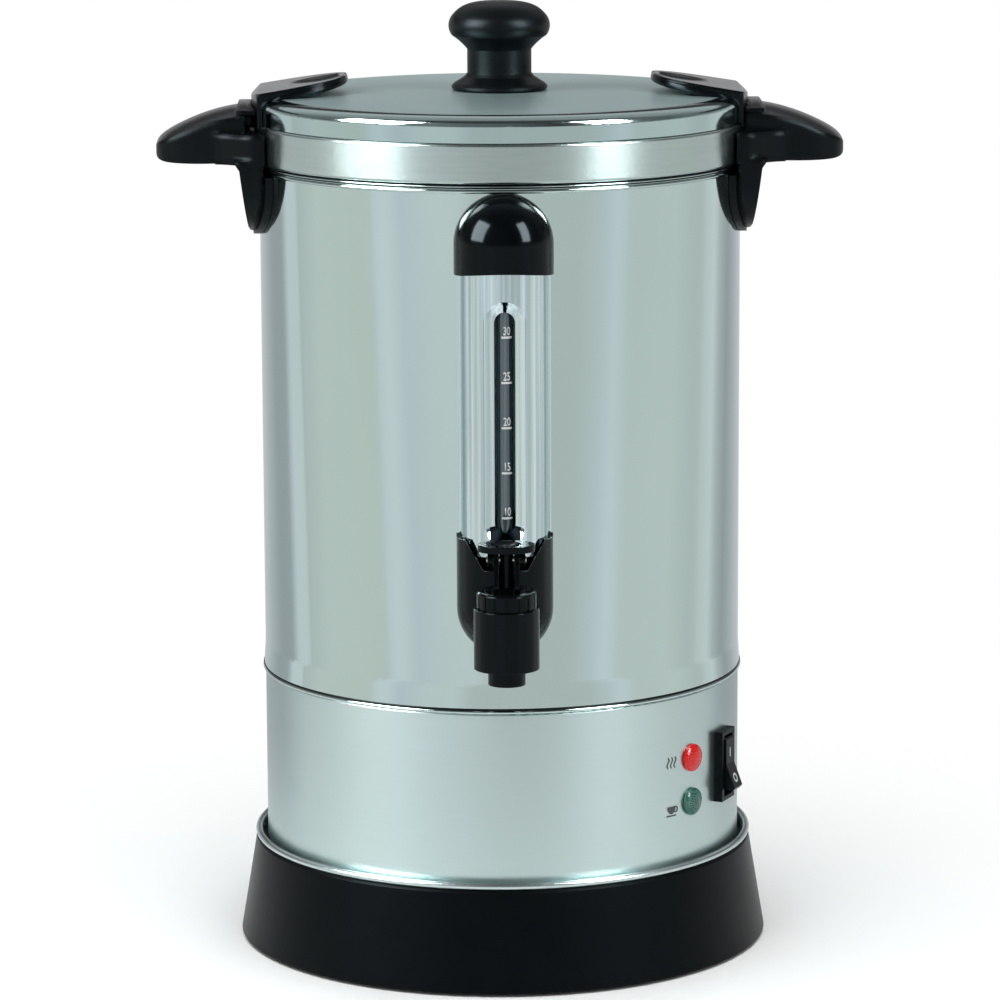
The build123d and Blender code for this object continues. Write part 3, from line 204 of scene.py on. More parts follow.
steelDark = (0.455, 0.565, 0.552)
steelLight = (0.525, 0.640, 0.625)
plasticDark = (0.0012, 0.0018, 0.0023)
plasticLight = (0.0026, 0.0036, 0.0043)
plasticTint = (0.74, 0.92, 1.0, 1.0)
markColor = (0.62, 0.66, 0.66)

# a rolled sheet's lap seam, down the back of the urn
lapSeam = {"half": 0.0003, "soft": 0.0009}


def backSeam(paint, place):
    x, y, z = paint.split(place)
    return (1 - paint.fade(abs(x), lapSeam["half"], lapSeam["soft"])) * y.over(0.0)


# polished sheet: a mirror with faint handling marks and a slow waviness
def makePolishedSteel(name, look):
    material, paint = newPaint(name)
    place = paint.place()
    smears = paint.noise(paint.mapped(place, (18, 18, 5)), 1.0, 4.0, 0.6)
    lines = paint.noise(paint.mapped(place, (40, 40, 2400)), 1.0, 2.0)
    seam = backSeam(paint, place)
    rough = look["rough"] + (smears - 0.5) * look["smear"] + (lines - 0.5) * look["lines"] + seam * 0.3
    color = paint.blend(smears, look["dark"], look["light"])
    waves = paint.noise(paint.mapped(place, (9, 9, 4)), 1.0, 1.0)
    normal = paint.bump(waves + lines * 0.004 - seam * 0.2, look["wavy"], 0.0004)
    paint.surface(color=color, metallic=1.0, roughness=rough, normal=normal,
                  anisotropic=look["grain"], anisotropicRotation=0.25)
    return material


# the gauge's channel: drawn chrome with streaks down it, real draw lines in the bump and painted reflection
# lines in the colour, and a black gasket at the window's foot, whose edges are counted from the channel's
# foot and front
gasket = {"foot": 0.0015, "top": 0.0130, "half": 0.0066, "behind": 0.00015}


def makeChannelChrome(name, look):
    material, paint = newPaint(name)
    place = paint.place()
    x, y, z = paint.split(place)
    low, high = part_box("gauge_shield")
    streaksAndPaintedReflections = paint.noise(paint.mapped(place, (420, 420, 3.5)), 1.0, 3.0, 0.6)
    smears = paint.noise(paint.mapped(place, (30, 30, 12)), 1.0, 4.0, 0.6)
    foot = (1 - z.over(low[2] + gasket["top"])) * z.over(low[2] + gasket["foot"])
    black = foot * (1 - abs(x).over(gasket["half"])) * y.over(low[1] + gasket["behind"])
    # painted reflection: the streaks lighten and darken the chrome's colour in upright lines
    color = paint.blend(paint.fade(streaksAndPaintedReflections, 0.36, 0.64) * 0.8 + smears * 0.2, look["dark"], look["light"])
    color = paint.blend(black, color, plasticDark)
    rough = look["rough"] + (smears - 0.5) * 0.03 + black * 0.25
    normal = paint.bump(streaksAndPaintedReflections, look["streak"], 0.0004)
    paint.surface(color=color, metallic=1.0, roughness=rough, normal=normal)
    return material


# brushed sheet: the grain runs round the urn, so light is drawn out upwards
def makeBrushedSteel(name, look):
    material, paint = newPaint(name)
    place = paint.place()
    x, y, z = paint.split(place)
    turn = x.angleWith(y)
    grain = paint.noise(paint.join(turn * look["length"], z * look["fine"], 0.0), 1.0, 3.0, 0.7)
    broad = paint.noise(paint.join(turn * 3.0, z * look["fine"] * 0.12, 4.0), 1.0, 2.0)
    stains = paint.noise(paint.mapped(place, (11, 11, 11)), 1.0, 3.0)
    seam = backSeam(paint, place)
    rough = look["rough"] + (grain - 0.5) * look["spread"] + (stains - 0.5) * 0.06 + seam * 0.2
    color = paint.blend(grain * 0.6 + broad * 0.4, look["dark"], look["light"])
    normal = paint.bump(grain - seam * 3.0, look["bump"], 0.00006)
    paint.surface(color=color, metallic=1.0, roughness=rough, normal=normal,
                  specularTint=(look["edge"],) * 3 + (1.0,),  # below 1 it darkens where the sheet turns away
                  anisotropic=look["grain"], anisotropicRotation=0.25)
    return material


# the lid: a satin spun crown inside a polished border
def makeLidSteel(name, look):
    material, paint = newPaint(name)
    place = paint.place()
    x, y, z = paint.split(place)
    low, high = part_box("lid")
    edge = high[0] - look["border"]
    reach = (x * x + y * y) ** 0.5
    satin = 1 - paint.fade(reach, edge - 0.0012, edge + 0.0008)
    rings = paint.noise(paint.join(reach * 5200.0, x.angleWith(y) * 9.0, 0.0), 1.0, 3.0, 0.7)
    smears = paint.noise(paint.mapped(place, (18, 18, 18)), 1.0, 4.0, 0.6)
    rough = look["polished"] + satin * (look["satin"] - look["polished"]) + (rings - 0.5) * 0.06 * satin
    color = paint.blend(smears * 0.5 + rings * 0.5, look["dark"], look["light"])
    normal = paint.bump(rings * satin, 0.15, 0.00005)
    paint.surface(color=color, metallic=1.0, roughness=rough + (smears - 0.5) * 0.04, normal=normal)
    return material


def makeBlackPlastic(name, look):
    material, paint = newPaint(name)
    place = paint.place()
    dust = paint.noise(paint.mapped(place, (60, 60, 60)), 1.0, 5.0, 0.65)
    cloud = paint.noise(paint.mapped(place, (14, 14, 14)), 1.0, 2.0)
    skin = paint.noise(place, look["skinScale"], 4.0, 0.7)
    rough = look["rough"] + (cloud - 0.5) * 0.06 + (dust - 0.5) * look["dust"]
    color = paint.blend(dust, look["dark"], look["light"])
    if "marks" in look:
        color = paint.blend(look["marks"](paint, place), color, markColor)
    normal = paint.bump(skin, look["bump"], 0.00012, look["edge"])
    paint.surface(color=color, roughness=rough, normal=normal, ior=1.5, specular=look["shine"],
                  specularTint=plasticTint)
    return material


# the rocker's printed bar above its pivot and ring below it, on the face that stands out past the pivot
rockerMarks = {"rise": 0.0058, "barHalf": 0.0021, "ring": 0.0016, "line": 0.00042, "soft": 0.000147,
               "past": 0.001}
rockerPivot = next(Vector(joint["pos_m"]) for joint in frame["joints"] if joint["name"] == "rocker_tilt")


def markRocker(paint, place):
    flat = paint.mapped(place, turn=(0, 0, -atan2(rockerPivot.y, rockerPivot.x)))
    out, across, up = paint.split(flat)
    thin, thick = rockerMarks["line"] - rockerMarks["soft"], rockerMarks["line"] + rockerMarks["soft"]
    fromBar = abs(up - (rockerPivot.z + rockerMarks["rise"]))
    bar = (1 - paint.fade(abs(across), thin, thick)) * (1 - fromBar.over(rockerMarks["barHalf"]))
    drop = up - (rockerPivot.z - rockerMarks["rise"])
    reach = (across * across + drop * drop) ** 0.5
    ring = 1 - paint.fade(abs(reach - rockerMarks["ring"]), thin, thick)
    return bar.most(ring) * out.over(rockerPivot.xy.length + rockerMarks["past"])


# a plain finish with specks and a fine skin, for the small and hidden pieces
def makePlainFinish(name, look):
    material, paint = newPaint(name)
    place = paint.place()
    specks = paint.noise(place, look.get("scale", 400.0), 4.0, 0.6)
    cloud = paint.noise(place, 30.0, 3.0)
    color = paint.blend(specks * 0.5 + cloud * 0.5, look["dark"], look["light"])
    rough = look["rough"] + (specks - 0.5) * 0.2
    normal = paint.bump(specks, look.get("bump", 0.2), 0.0001)
    paint.surface(color=color, metallic=look.get("metal", 0.0), roughness=rough, normal=normal)
    return material


# the lights' moulded facets: waves over the height and the depth of a lens, turned the way it faces
def makeLensPaint(name, look):
    material, paint = newPaint(name)
    place = paint.place()
    grid = paint.mapped(place, (look["pitch"],) * 3, (0, 0, radians(-look["turn"])))
    across, depth, up = paint.split(grid)
    facets = abs((depth + up).wave()) * abs((depth - up).wave())
    color = paint.blend(facets, look["dark"], look["light"])
    normal = paint.bump(facets, look["facet"], 0.0003)
    paint.surface(color=color, roughness=0.14 + facets * 0.1, normal=normal, coatWeight=0.4,
                  coatRoughness=0.06, specular=0.3, glow=color, glowStrength=look["glow"])
    return material


# the sight tube stands full, so its glass looks dark; the pale streaks down it are painted highlights
def makeTubeGlass(name, look):
    material, paint = newPaint(name)
    place = paint.place()
    streaksAndPaintedReflections = paint.noise(paint.mapped(place, (900, 900, 1.5)), 1.0, 2.0)
    # painted highlight: the pale streaks are light drawn into the glass's colour
    color = paint.blend(paint.fade(streaksAndPaintedReflections, 0.35, 0.65), look["dark"], look["light"])
    paint.surface(color=color, roughness=look["rough"] + streaksAndPaintedReflections * 0.04, ior=look["ior"],
                  specularTint=plasticTint, coatWeight=1.0, coatRoughness=0.05)
    return material


paints = {
    "polishedSteel": makePolishedSteel("polishedSteel", {
        "rough": 0.075, "smear": 0.05, "lines": 0.03, "wavy": 0.10, "grain": 0.3,
        "dark": steelDark, "light": steelLight}),
    "lidSteel": makeLidSteel("lidSteel", {
        "border": 0.0080, "polished": 0.09, "satin": 0.38,
        "dark": (0.39, 0.51, 0.505), "light": (0.44, 0.56, 0.555)}),
    "brushedSteel": makeBrushedSteel("brushedSteel", {
        "rough": 0.235, "grain": 0.70, "bump": 0.22, "length": 14.0, "fine": 5200.0, "spread": 0.12,
        "edge": 0.93, "dark": (0.38, 0.46, 0.45), "light": (0.49, 0.585, 0.57)}),
    "beadSteel": makeBrushedSteel("beadSteel", {
        "rough": 0.24, "grain": 0.3, "bump": 0.12, "length": 14.0, "fine": 5200.0, "spread": 0.10,
        "edge": 0.95, "dark": (0.46, 0.54, 0.54), "light": (0.56, 0.64, 0.64)}),
    "housingSteel": makeBrushedSteel("housingSteel", {
        "rough": 0.30, "grain": 0.35, "bump": 0.10, "length": 20.0, "fine": 6500.0, "spread": 0.08,
        "edge": 0.80, "dark": (0.46, 0.565, 0.56), "light": (0.51, 0.615, 0.605)}),
    "chrome": makeChannelChrome("chrome", {
        "rough": 0.045, "streak": 0.22, "dark": (0.40, 0.50, 0.525), "light": (0.68, 0.80, 0.82)}),
    "zincSteel": makePlainFinish("zincSteel", {
        "rough": 0.32, "metal": 1.0, "scale": 260.0,
        "dark": (0.42, 0.43, 0.42), "light": (0.62, 0.63, 0.62)}),
    "glossBlack": makeBlackPlastic("glossBlack", {
        "rough": 0.12, "dust": 0.04, "bump": 0.04, "skinScale": 900.0, "shine": 0.13, "edge": 0.0007,
        "dark": plasticDark, "light": plasticLight}),
    "handleBlack": makeBlackPlastic("handleBlack", {
        "rough": 0.22, "dust": 0.05, "bump": 0.08, "skinScale": 1500.0, "shine": 0.13, "edge": 0.0035,
        "dark": plasticDark, "light": plasticLight}),
    "lugBlack": makeBlackPlastic("lugBlack", {
        "rough": 0.17, "dust": 0.05, "bump": 0.06, "skinScale": 1500.0, "shine": 0.15, "edge": 0.0025,
        "dark": plasticDark, "light": plasticLight}),
    "satinBlack": makeBlackPlastic("satinBlack", {
        "rough": 0.36, "dust": 0.08, "bump": 0.35, "skinScale": 2200.0, "shine": 0.13, "edge": 0.0004,
        "dark": plasticDark, "light": plasticLight}),
    "rockerBlack": makeBlackPlastic("rockerBlack", {
        "rough": 0.30, "dust": 0.06, "bump": 0.15, "skinScale": 2200.0, "shine": 0.14, "edge": 0.0003,
        "dark": plasticDark, "light": plasticLight, "marks": markRocker}),
    "skirtBlack": makeBlackPlastic("skirtBlack", {
        "rough": 0.34, "dust": 0.05, "bump": 0.06, "skinScale": 1200.0, "shine": 0.07, "edge": 0.0005,
        "dark": plasticDark, "light": plasticLight}),
    "rubber": makePlainFinish("rubber", {
        "rough": 0.75, "scale": 1500.0, "dark": (0.018, 0.018, 0.019), "light": (0.035, 0.035, 0.036)}),
    "silicone": makePlainFinish("silicone", {
        "rough": 0.5, "dark": (0.60, 0.59, 0.55), "light": (0.72, 0.71, 0.67)}),
    "ceramic": makePlainFinish("ceramic", {
        "rough": 0.55, "dark": (0.70, 0.68, 0.62), "light": (0.84, 0.82, 0.76)}),
    "mica": makePlainFinish("mica", {
        "rough": 0.45, "scale": 180.0, "dark": (0.36, 0.29, 0.18), "light": (0.60, 0.52, 0.38)}),
    "castAluminium": makePlainFinish("castAluminium", {
        "rough": 0.45, "metal": 1.0, "bump": 0.5, "dark": (0.50, 0.51, 0.52), "light": (0.72, 0.73, 0.74)}),
    "brass": makePlainFinish("brass", {
        "rough": 0.28, "metal": 1.0, "dark": (0.52, 0.38, 0.15), "light": (0.70, 0.55, 0.27)}),
    "wireSleeve": makePlainFinish("wireSleeve", {
        "rough": 0.8, "scale": 1800.0, "bump": 0.6,
        "dark": (0.62, 0.61, 0.56), "light": (0.80, 0.79, 0.74)}),
    "scaleInk": makePlainFinish("scaleInk", {
        "rough": 0.5, "scale": 3000.0, "bump": 0.05,
        "dark": (0.72, 0.75, 0.75), "light": (0.86, 0.88, 0.88)}),
    "signInk": makePlainFinish("signInk", {
        "rough": 0.5, "scale": 3000.0, "bump": 0.05,
        "dark": (0.035, 0.040, 0.042), "light": (0.06, 0.066, 0.068)}),
    "redLens": makeLensPaint("redLens", {
        "pitch": 2600.0, "turn": 50.5, "facet": 0.25, "glow": 0.28,
        "dark": (0.42, 0.004, 0.003), "light": (0.62, 0.010, 0.008)}),
    "greenLens": makeLensPaint("greenLens", {
        "pitch": 3400.0, "turn": 50.5, "facet": 0.7, "glow": 0.0,
        "dark": (0.003, 0.055, 0.040), "light": (0.035, 0.24, 0.17)}),
    "tubeGlass": makeTubeGlass("tubeGlass", {
        "rough": 0.06, "ior": 1.85, "dark": (0.004, 0.010, 0.013), "light": (0.062, 0.104, 0.118)}),
}
print("finishes made:", len(paints))

finishes = {
    "polishedSteel": ["tank", "coffee_basket", "basket_spreader", "pump_tube", "pump_foot"],
    "lidSteel": ["lid"],
    "brushedSteel": ["rim_band", "bottom_plate"],
    "beadSteel": ["trim_ring"],
    "housingSteel": ["base_housing"],
    "chrome": ["gauge_shield"],
    "zincSteel": ["feet_screws", "heater_clamp", "tie_rod", "tie_nuts", "thermal_fuse", "lug_screws",
                  "knob_washer", "knob_screw", "handle_screws", "cap_screw", "lever_pin", "inlet_screws"],
    "glossBlack": ["gauge_cap", "gauge_base_cover", "tap_body", "tap_bonnet", "tap_lever", "valve_stem"],
    "handleBlack": ["right_handle", "left_handle"],
    "lugBlack": ["right_lid_lug", "left_lid_lug"],
    "satinBlack": ["knob", "knob_collar", "right_handle_pad", "left_handle_pad", "switch_bezel",
                   "power_inlet", "tap_shank", "shank_nut"],
    "rockerBlack": ["switch_rocker"],
    "skirtBlack": ["base_skirt"],
    "rubber": ["rubber_feet", "tube_bottom_seal"],
    "silicone": ["tube_top_seal", "shank_gaskets", "seat_cup"],
    "ceramic": ["thermostats", "terminal_block", "lamp_holders"],
    "mica": ["keep_warm_heater"],
    "castAluminium": ["brew_heater"],
    "brass": ["inlet_pins"],
    "wireSleeve": ["wire_harness"],
    "redLens": ["red_lens"],
    "greenLens": ["green_lens"],
    "tubeGlass": ["sight_tube"],
}

for paintName, names in finishes.items():
    for name in names:
        nodes[name].data.materials.clear()
        nodes[name].data.materials.append(paints[paintName])
print("finishes on the CAD nodes done")


def addPiece(name, shape, paintName, body):
    mesh = bpy.data.meshes.new(name)
    shape.to_mesh(mesh)
    shape.free()
    mesh.materials.append(paints[paintName])
    thing = bpy.data.objects.new(name, mesh)
    scene.collection.objects.link(thing)
    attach(thing, body)
    return thing


# a closed ring, spun about the urn's axis from an outline of (reach, height) points
def spinRing(outline, steps):
    shape = bmesh.new()
    verts = [shape.verts.new((reach, 0, up)) for reach, up in outline]
    edges = [shape.edges.new((verts[index - 1], verts[index])) for index in range(len(verts))]
    bmesh.ops.spin(shape, geom=verts + edges, axis=(0, 0, 1), cent=(0, 0, 0), steps=steps, angle=2 * pi,
                   use_merge=True)
    bmesh.ops.remove_doubles(shape, verts=shape.verts, dist=1e-7)
    bmesh.ops.recalc_face_normals(shape, faces=shape.faces)
    for face in shape.faces:
        face.smooth = True
    return shape


# the bead on its leg, which stands in the groove between the skirt and the housing
trim = {"leg": 0.0006, "sunk": 0.0025, "points": 24, "steps": 256}


def makeTrimRing():
    low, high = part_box("trim_ring")
    outer = (high[1] - low[1]) / 2
    bead = (high[2] - low[2] - trim["sunk"]) / 2
    reach, up = outer - bead, high[2] - bead
    outline = [(reach - bead, low[2]), (reach - bead + trim["leg"], low[2])]
    start = acos((bead - trim["leg"]) / bead) - pi
    for index in range(trim["points"] + 1):
        turn = start + (pi - start) * index / trim["points"]
        outline.append((reach + bead * cos(turn), up + bead * sin(turn)))
    piece = addPiece("trim_bead", spinRing(outline, trim["steps"]), "beadSteel", "urn")
    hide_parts("trim_ring")


# thin rolled beads round the tank's wall, and black rings that stand in for the shadow in its joints
# (painted shadow):
# at its foot, where the housing ends, and at its neck, where the rim band begins and a fine wire runs in the
# joint;
# out is from the wall's face and up from the joint
beads = {
    "foot_bead": {"joint": "foot", "out": 0.0004, "up": 0.0002, "radius": 0.0008, "paint": "polishedSteel"},
    # painted shadow: a black ring standing in for the shadow in the gap at the tank's foot
    "foot_shadow_ring": {"joint": "foot", "out": 0.0005, "up": 0.0014, "radius": 0.0005, "paint": "satinBlack"},
    "neck_bead": {"joint": "neck", "out": -0.0001, "up": -0.0032, "radius": 0.0009,
                  "paint": "polishedSteel"},
    # painted shadow: a black ring standing in for the shadow in the gap below the rim band
    "neck_shadow_ring": {"joint": "neck", "out": -0.0004, "up": -0.0011, "radius": 0.0011, "paint": "satinBlack"},
    "neck_wire": {"joint": "neck", "out": 0.0007, "up": -0.0011, "radius": 0.0003, "paint": "polishedSteel"},
}


def makeBeads():
    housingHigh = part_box("base_housing")[1]
    heights = {"foot": housingHigh[2], "neck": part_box("rim_band")[0][2]}
    for name, bead in beads.items():
        reach = housingHigh[0] + bead["out"]
        height = heights[bead["joint"]] + bead["up"]
        outline = []
        for index in range(trim["points"]):
            turn = 2 * pi * index / trim["points"]
            outline.append((reach + bead["radius"] * cos(turn), height + bead["radius"] * sin(turn)))
        addPiece(name, spinRing(outline, trim["steps"]), bead["paint"], "urn")


# the rounded lip round the top of each lid lug, set in from the lug's inner end and sides
lip = {"inset": 0.0019, "length": 0.0311, "sideInset": 0.0018, "up": 0.0130, "rise": 0.0074,
       "radius": 0.0021, "points": 40, "sides": 12, "squareness": 2.4}
lugLow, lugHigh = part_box("right_lid_lug")


# half a rounded oval, rising towards the lug's inner end
def lipSpot(turn):
    power = 2 / lip["squareness"]
    along = abs(cos(turn)) ** power
    across = abs(sin(turn)) ** power * (1 if turn > 0 else -1)
    reach = lugLow[0] + lip["inset"] + lip["length"] * (1 - along)
    half = lugHigh[1] - lip["sideInset"]
    return Vector((reach, across * half, lugLow[2] + lip["up"] + lip["rise"] * along))


def isWithin(edge, verts):
    return edge.verts[0] in verts and edge.verts[1] in verts


def makeLugLip(side, name):
    shape = bmesh.new()
    rings = []
    for index in range(lip["points"] + 1):
        turn = -pi / 2 + pi * index / lip["points"]
        spot = lipSpot(turn)
        ahead = (lipSpot(turn + 0.01) - lipSpot(turn - 0.01)).normalized()
        facing = ahead.to_track_quat("Z", "Y").to_matrix().to_4x4()
        made = bmesh.ops.create_circle(shape, cap_ends=index in (0, lip["points"]), segments=lip["sides"],
                                       radius=lip["radius"], matrix=Matrix.Translation(spot) @ facing)
        rings.append(made["verts"])
    for first, second in zip(rings, rings[1:]):
        edges = {edge for vert in first + second for edge in vert.link_edges if len(edge.link_faces) < 2}
        loops = [edge for edge in edges if isWithin(edge, first) or isWithin(edge, second)]
        bmesh.ops.bridge_loops(shape, edges=loops)
    bmesh.ops.scale(shape, vec=(side, 1, 1), verts=shape.verts)
    bmesh.ops.recalc_face_normals(shape, faces=shape.faces)
    for face in shape.faces:
        face.smooth = len(face.verts) == 4
    addPiece(name, shape, "lugBlack", "lid")


# printed signs are thin closed sheets, drawn flat and then laid round the surface that carries them
def thicken(shape, thickness):
    bmesh.ops.remove_doubles(shape, verts=shape.verts, dist=1e-7)
    bmesh.ops.recalc_face_normals(shape, faces=shape.faces)
    bmesh.ops.solidify(shape, geom=shape.faces, thickness=thickness)
    bmesh.ops.recalc_face_normals(shape, faces=shape.faces)


# upright cuts let a flat sheet follow a round surface
def cutUpright(shape, half, step):
    cuts = int(half / step)
    for index in range(-cuts, cuts + 1):
        geometry = shape.verts[:] + shape.edges[:] + shape.faces[:]
        bmesh.ops.bisect_plane(shape, geom=geometry, plane_co=(index * step, 0, 0), plane_no=(1, 0, 0))


# x runs along the surface, z up and -y outwards
def layRound(shape, radius, turn, centre, height):
    for vertex in shape.verts:
        across, depth, up = vertex.co
        angle = turn + across / radius
        reach = radius - depth
        vertex.co = (centre[0] + reach * cos(angle), centre[1] + reach * sin(angle), height + up)


# a flat bar, drawn across x and up z
def addBar(shape, width, height, x, z):
    verts = bmesh.ops.create_grid(shape, x_segments=8, y_segments=1, size=0.5)["verts"]
    bmesh.ops.scale(shape, vec=(width, height, 1), verts=verts)
    bmesh.ops.rotate(shape, cent=(0, 0, 0), matrix=Matrix.Rotation(pi / 2, 3, "X"), verts=verts)
    bmesh.ops.translate(shape, vec=(x, 0, z), verts=verts)


def addWord(shape, word, size, narrow, bold, x, z):
    curve = bpy.data.curves.new(word, "FONT")
    curve.body = word
    curve.offset = bold
    curve.align_x = "CENTER"
    curve.size = size
    thing = bpy.data.objects.new(word, curve)
    scene.collection.objects.link(thing)
    mesh = bpy.data.meshes.new_from_object(thing.evaluated_get(bpy.context.evaluated_depsgraph_get()))
    bpy.data.objects.remove(thing)
    mesh.transform(Matrix.Rotation(pi / 2, 4, "X") @ Matrix.Diagonal((narrow, 1, 1, 1)))
    mesh.transform(Matrix.Translation((x, 0, z)))
    shape.from_mesh(mesh)
    bpy.data.meshes.remove(mesh)


# a mark and a number for each fifth cup; up is from the tube's foot and aside from its middle
gaugeScale = {"first": 10, "step": 5, "count": 5, "up": 0.0202, "pitch": 0.01957, "aside": 0.0010,
              "barWidth": 0.0048, "barHeight": 0.0009, "digitSize": 0.0050, "narrow": 0.66, "bold": 0.00007,
              "gap": 0.0011, "slice": 0.0004, "ink": 0.00004, "lift": 0.00006}


def makeGaugeScale():
    shape = bmesh.new()
    for index in range(gaugeScale["count"]):
        up = index * gaugeScale["pitch"]
        addBar(shape, gaugeScale["barWidth"], gaugeScale["barHeight"], gaugeScale["aside"], up)
        word = str(gaugeScale["first"] + index * gaugeScale["step"])
        addWord(shape, word, gaugeScale["digitSize"], gaugeScale["narrow"], gaugeScale["bold"],
                gaugeScale["aside"], up + gaugeScale["gap"])
    cutUpright(shape, gaugeScale["barWidth"], gaugeScale["slice"])
    thicken(shape, gaugeScale["ink"])
    low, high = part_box("sight_tube")
    radius = (high[0] - low[0]) / 2
    centre = ((low[0] + high[0]) / 2, (low[1] + high[1]) / 2)
    layRound(shape, radius + gaugeScale["lift"], -pi / 2, centre, low[2] + gaugeScale["up"])
    addPiece("gauge_scale", shape, "scaleInk", "urn")


# signs left of the two lights, a hair above the housing's wall: rising heat, and a cup kept warm
signs = {"above": 0.0001, "ink": 0.00004, "line": 0.0006, "aside": 0.0138, "waveHeight": 0.0050,
         "waveSwing": 0.0006, "wavePitch": 0.0022, "cupWidth": 0.0052, "cupHeight": 0.0034,
         "earInner": 0.0009, "saucerWide": 1.15, "saucerDrop": 0.0008}


def placeSign(shape, name, lensName):
    thicken(shape, signs["ink"])
    low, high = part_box(lensName)
    across, back, up = [(low[index] + high[index]) / 2 for index in range(3)]
    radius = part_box("base_housing")[1][0] + signs["above"]
    turn = atan2(back, across) - signs["aside"] / radius
    layRound(shape, radius + signs["ink"], turn, (0.0, 0.0), up)
    addPiece(name, shape, "signInk", "urn")


def makeHeatSign():
    shape = bmesh.new()
    for index in (-1, 0, 1):
        made = bmesh.ops.create_grid(shape, x_segments=1, y_segments=16, size=0.5)
        for vertex in made["verts"]:
            swing = signs["waveSwing"] * sin(vertex.co.y * 2 * pi)
            across = index * signs["wavePitch"] + vertex.co.x * signs["line"] + swing
            vertex.co = (across, 0, vertex.co.y * signs["waveHeight"])
    placeSign(shape, "heat_sign", "red_lens")


def makeCupSign():
    shape = bmesh.new()
    bowl = bmesh.ops.create_circle(shape, cap_ends=True, segments=32, radius=signs["cupWidth"] / 2)["verts"]
    bmesh.ops.rotate(shape, cent=(0, 0, 0), matrix=Matrix.Rotation(pi / 2, 3, "X"), verts=bowl)
    geometry = shape.verts[:] + shape.edges[:] + shape.faces[:]
    bmesh.ops.bisect_plane(shape, geom=geometry, plane_co=(0, 0, 0), plane_no=(0, 0, 1), clear_outer=True)
    bmesh.ops.scale(shape, vec=(1, 1, 2 * signs["cupHeight"] / signs["cupWidth"]), verts=shape.verts)
    bowlVerts = set(shape.verts)
    line = signs["line"]
    inner = signs["earInner"]
    first = shape.verts.new((inner, 0, 0))
    second = shape.verts.new((inner + line, 0, 0))
    rim = shape.edges.new((first, second))
    bmesh.ops.spin(shape, geom=[first, second, rim], axis=(0, 1, 0), cent=(0, 0, 0), steps=20, angle=2 * pi,
                   use_merge=True)
    ear = [vertex for vertex in shape.verts if vertex not in bowlVerts]
    bmesh.ops.translate(shape, vec=(signs["cupWidth"] / 2, 0, -inner - line), verts=ear)
    saucer = signs["cupWidth"] * signs["saucerWide"]
    addBar(shape, saucer, line, 0.0, -signs["cupHeight"] - signs["saucerDrop"])
    placeSign(shape, "cup_sign", "green_lens")


makeTrimRing()
makeBeads()
print("trim ring, beads and joints done")
makeLugLip(1, "right_lug_lip")
makeLugLip(-1, "left_lug_lip")
print("lips of the lid's lugs done")
makeGaugeScale()
makeHeatSign()
makeCupSign()
print("gauge scale and signs done")

# camera, floor and light
camera = {"distance": 2.084, "height": 0.5809, "turn": 0.78, "down": 10.37, "roll": -0.25, "pan": 0.015,
          "lens": 167.4}


def makeCamera():
    data = bpy.data.cameras.new("camera")
    data.lens = camera["lens"]
    data.sensor_width = 36.0
    data.clip_end = 60.0
    thing = bpy.data.objects.new("camera", data)
    tip = Matrix.Rotation(radians(90 - camera["down"]), 4, "X")
    roll = Matrix.Rotation(radians(camera["roll"]), 4, "Z")
    pan = Matrix.Rotation(radians(camera["pan"]), 4, "Z")
    stand = Matrix.Translation((0, -camera["distance"], camera["height"]))
    thing.matrix_world = Matrix.Rotation(radians(-camera["turn"]), 4, "Z") @ stand @ pan @ tip @ roll
    scene.collection.objects.link(thing)
    scene.camera = thing


# the floor is lit near the urn, and fades to plain white further out
floorLook = {"half": 14.0, "near": 0.15, "far": 0.50, "color": (0.96, 0.97, 0.97, 1.0)}


def makeFloor():
    mesh = bpy.data.meshes.new("floor")
    shape = bmesh.new()
    bmesh.ops.create_grid(shape, x_segments=1, y_segments=1, size=floorLook["half"])
    shape.to_mesh(mesh)
    shape.free()
    thing = bpy.data.objects.new("floor", mesh)
    scene.collection.objects.link(thing)
    material, paint = newPaint("paleFloor")
    x, y, z = paint.split(paint.place())
    reach = (x * x + y * y) ** 0.5
    away = paint.fade(reach, floorLook["near"], floorLook["far"])
    lit = paint.node("ShaderNodeBsdfDiffuse", {}, {"Color": floorLook["color"]})
    white = paint.node("ShaderNodeEmission", {}, {"Color": (1, 1, 1, 1), "Strength": 1.0})
    clear = paint.node("ShaderNodeBsdfTransparent")
    seen = paint.node("ShaderNodeLightPath", output="Is Camera Ray")
    beyond = paint.node("ShaderNodeMixShader", {}, {0: seen, 1: clear, 2: white})
    paint.finish(paint.node("ShaderNodeMixShader", {}, {0: away, 1: lit, 2: beyond}))
    mesh.materials.append(material)


# the pale backdrop round the urn, low down and higher up: a place from the back (0) by the left side,
# the front (0.5) and the right side to the back again (1), a brightness, and how blue it is
backdropLow = [
    (0.000, 0.62, 1.04), (0.055, 0.64, 1.04), (0.090, 0.58, 1.05), (0.118, 0.50, 1.04), (0.150, 0.54, 1.03),
    (0.166, 0.90, 1.05), (0.192, 0.90, 1.00), (0.194, 0.60, 1.00), (0.196, 0.76, 0.98), (0.235, 0.86, 0.97),
    (0.310, 0.84, 0.94), (0.330, 0.84, 0.95), (0.336, 0.92, 1.07), (0.350, 0.98, 1.08), (0.375, 0.85, 1.06),
    (0.420, 0.92, 1.00), (0.450, 0.92, 1.00), (0.478, 0.76, 0.99), (0.560, 0.75, 0.98), (0.600, 0.76, 0.98),
    (0.628, 0.84, 1.05), (0.648, 0.95, 1.08), (0.672, 0.85, 0.98), (0.745, 0.87, 0.97), (0.790, 0.76, 0.98),
    (0.8055, 0.78, 0.99), (0.8065, 0.66, 1.00), (0.808, 0.84, 1.00), (0.835, 0.92, 1.02),
    (0.852, 0.66, 1.01), (0.878, 0.48, 1.06), (0.935, 0.64, 1.05),
]
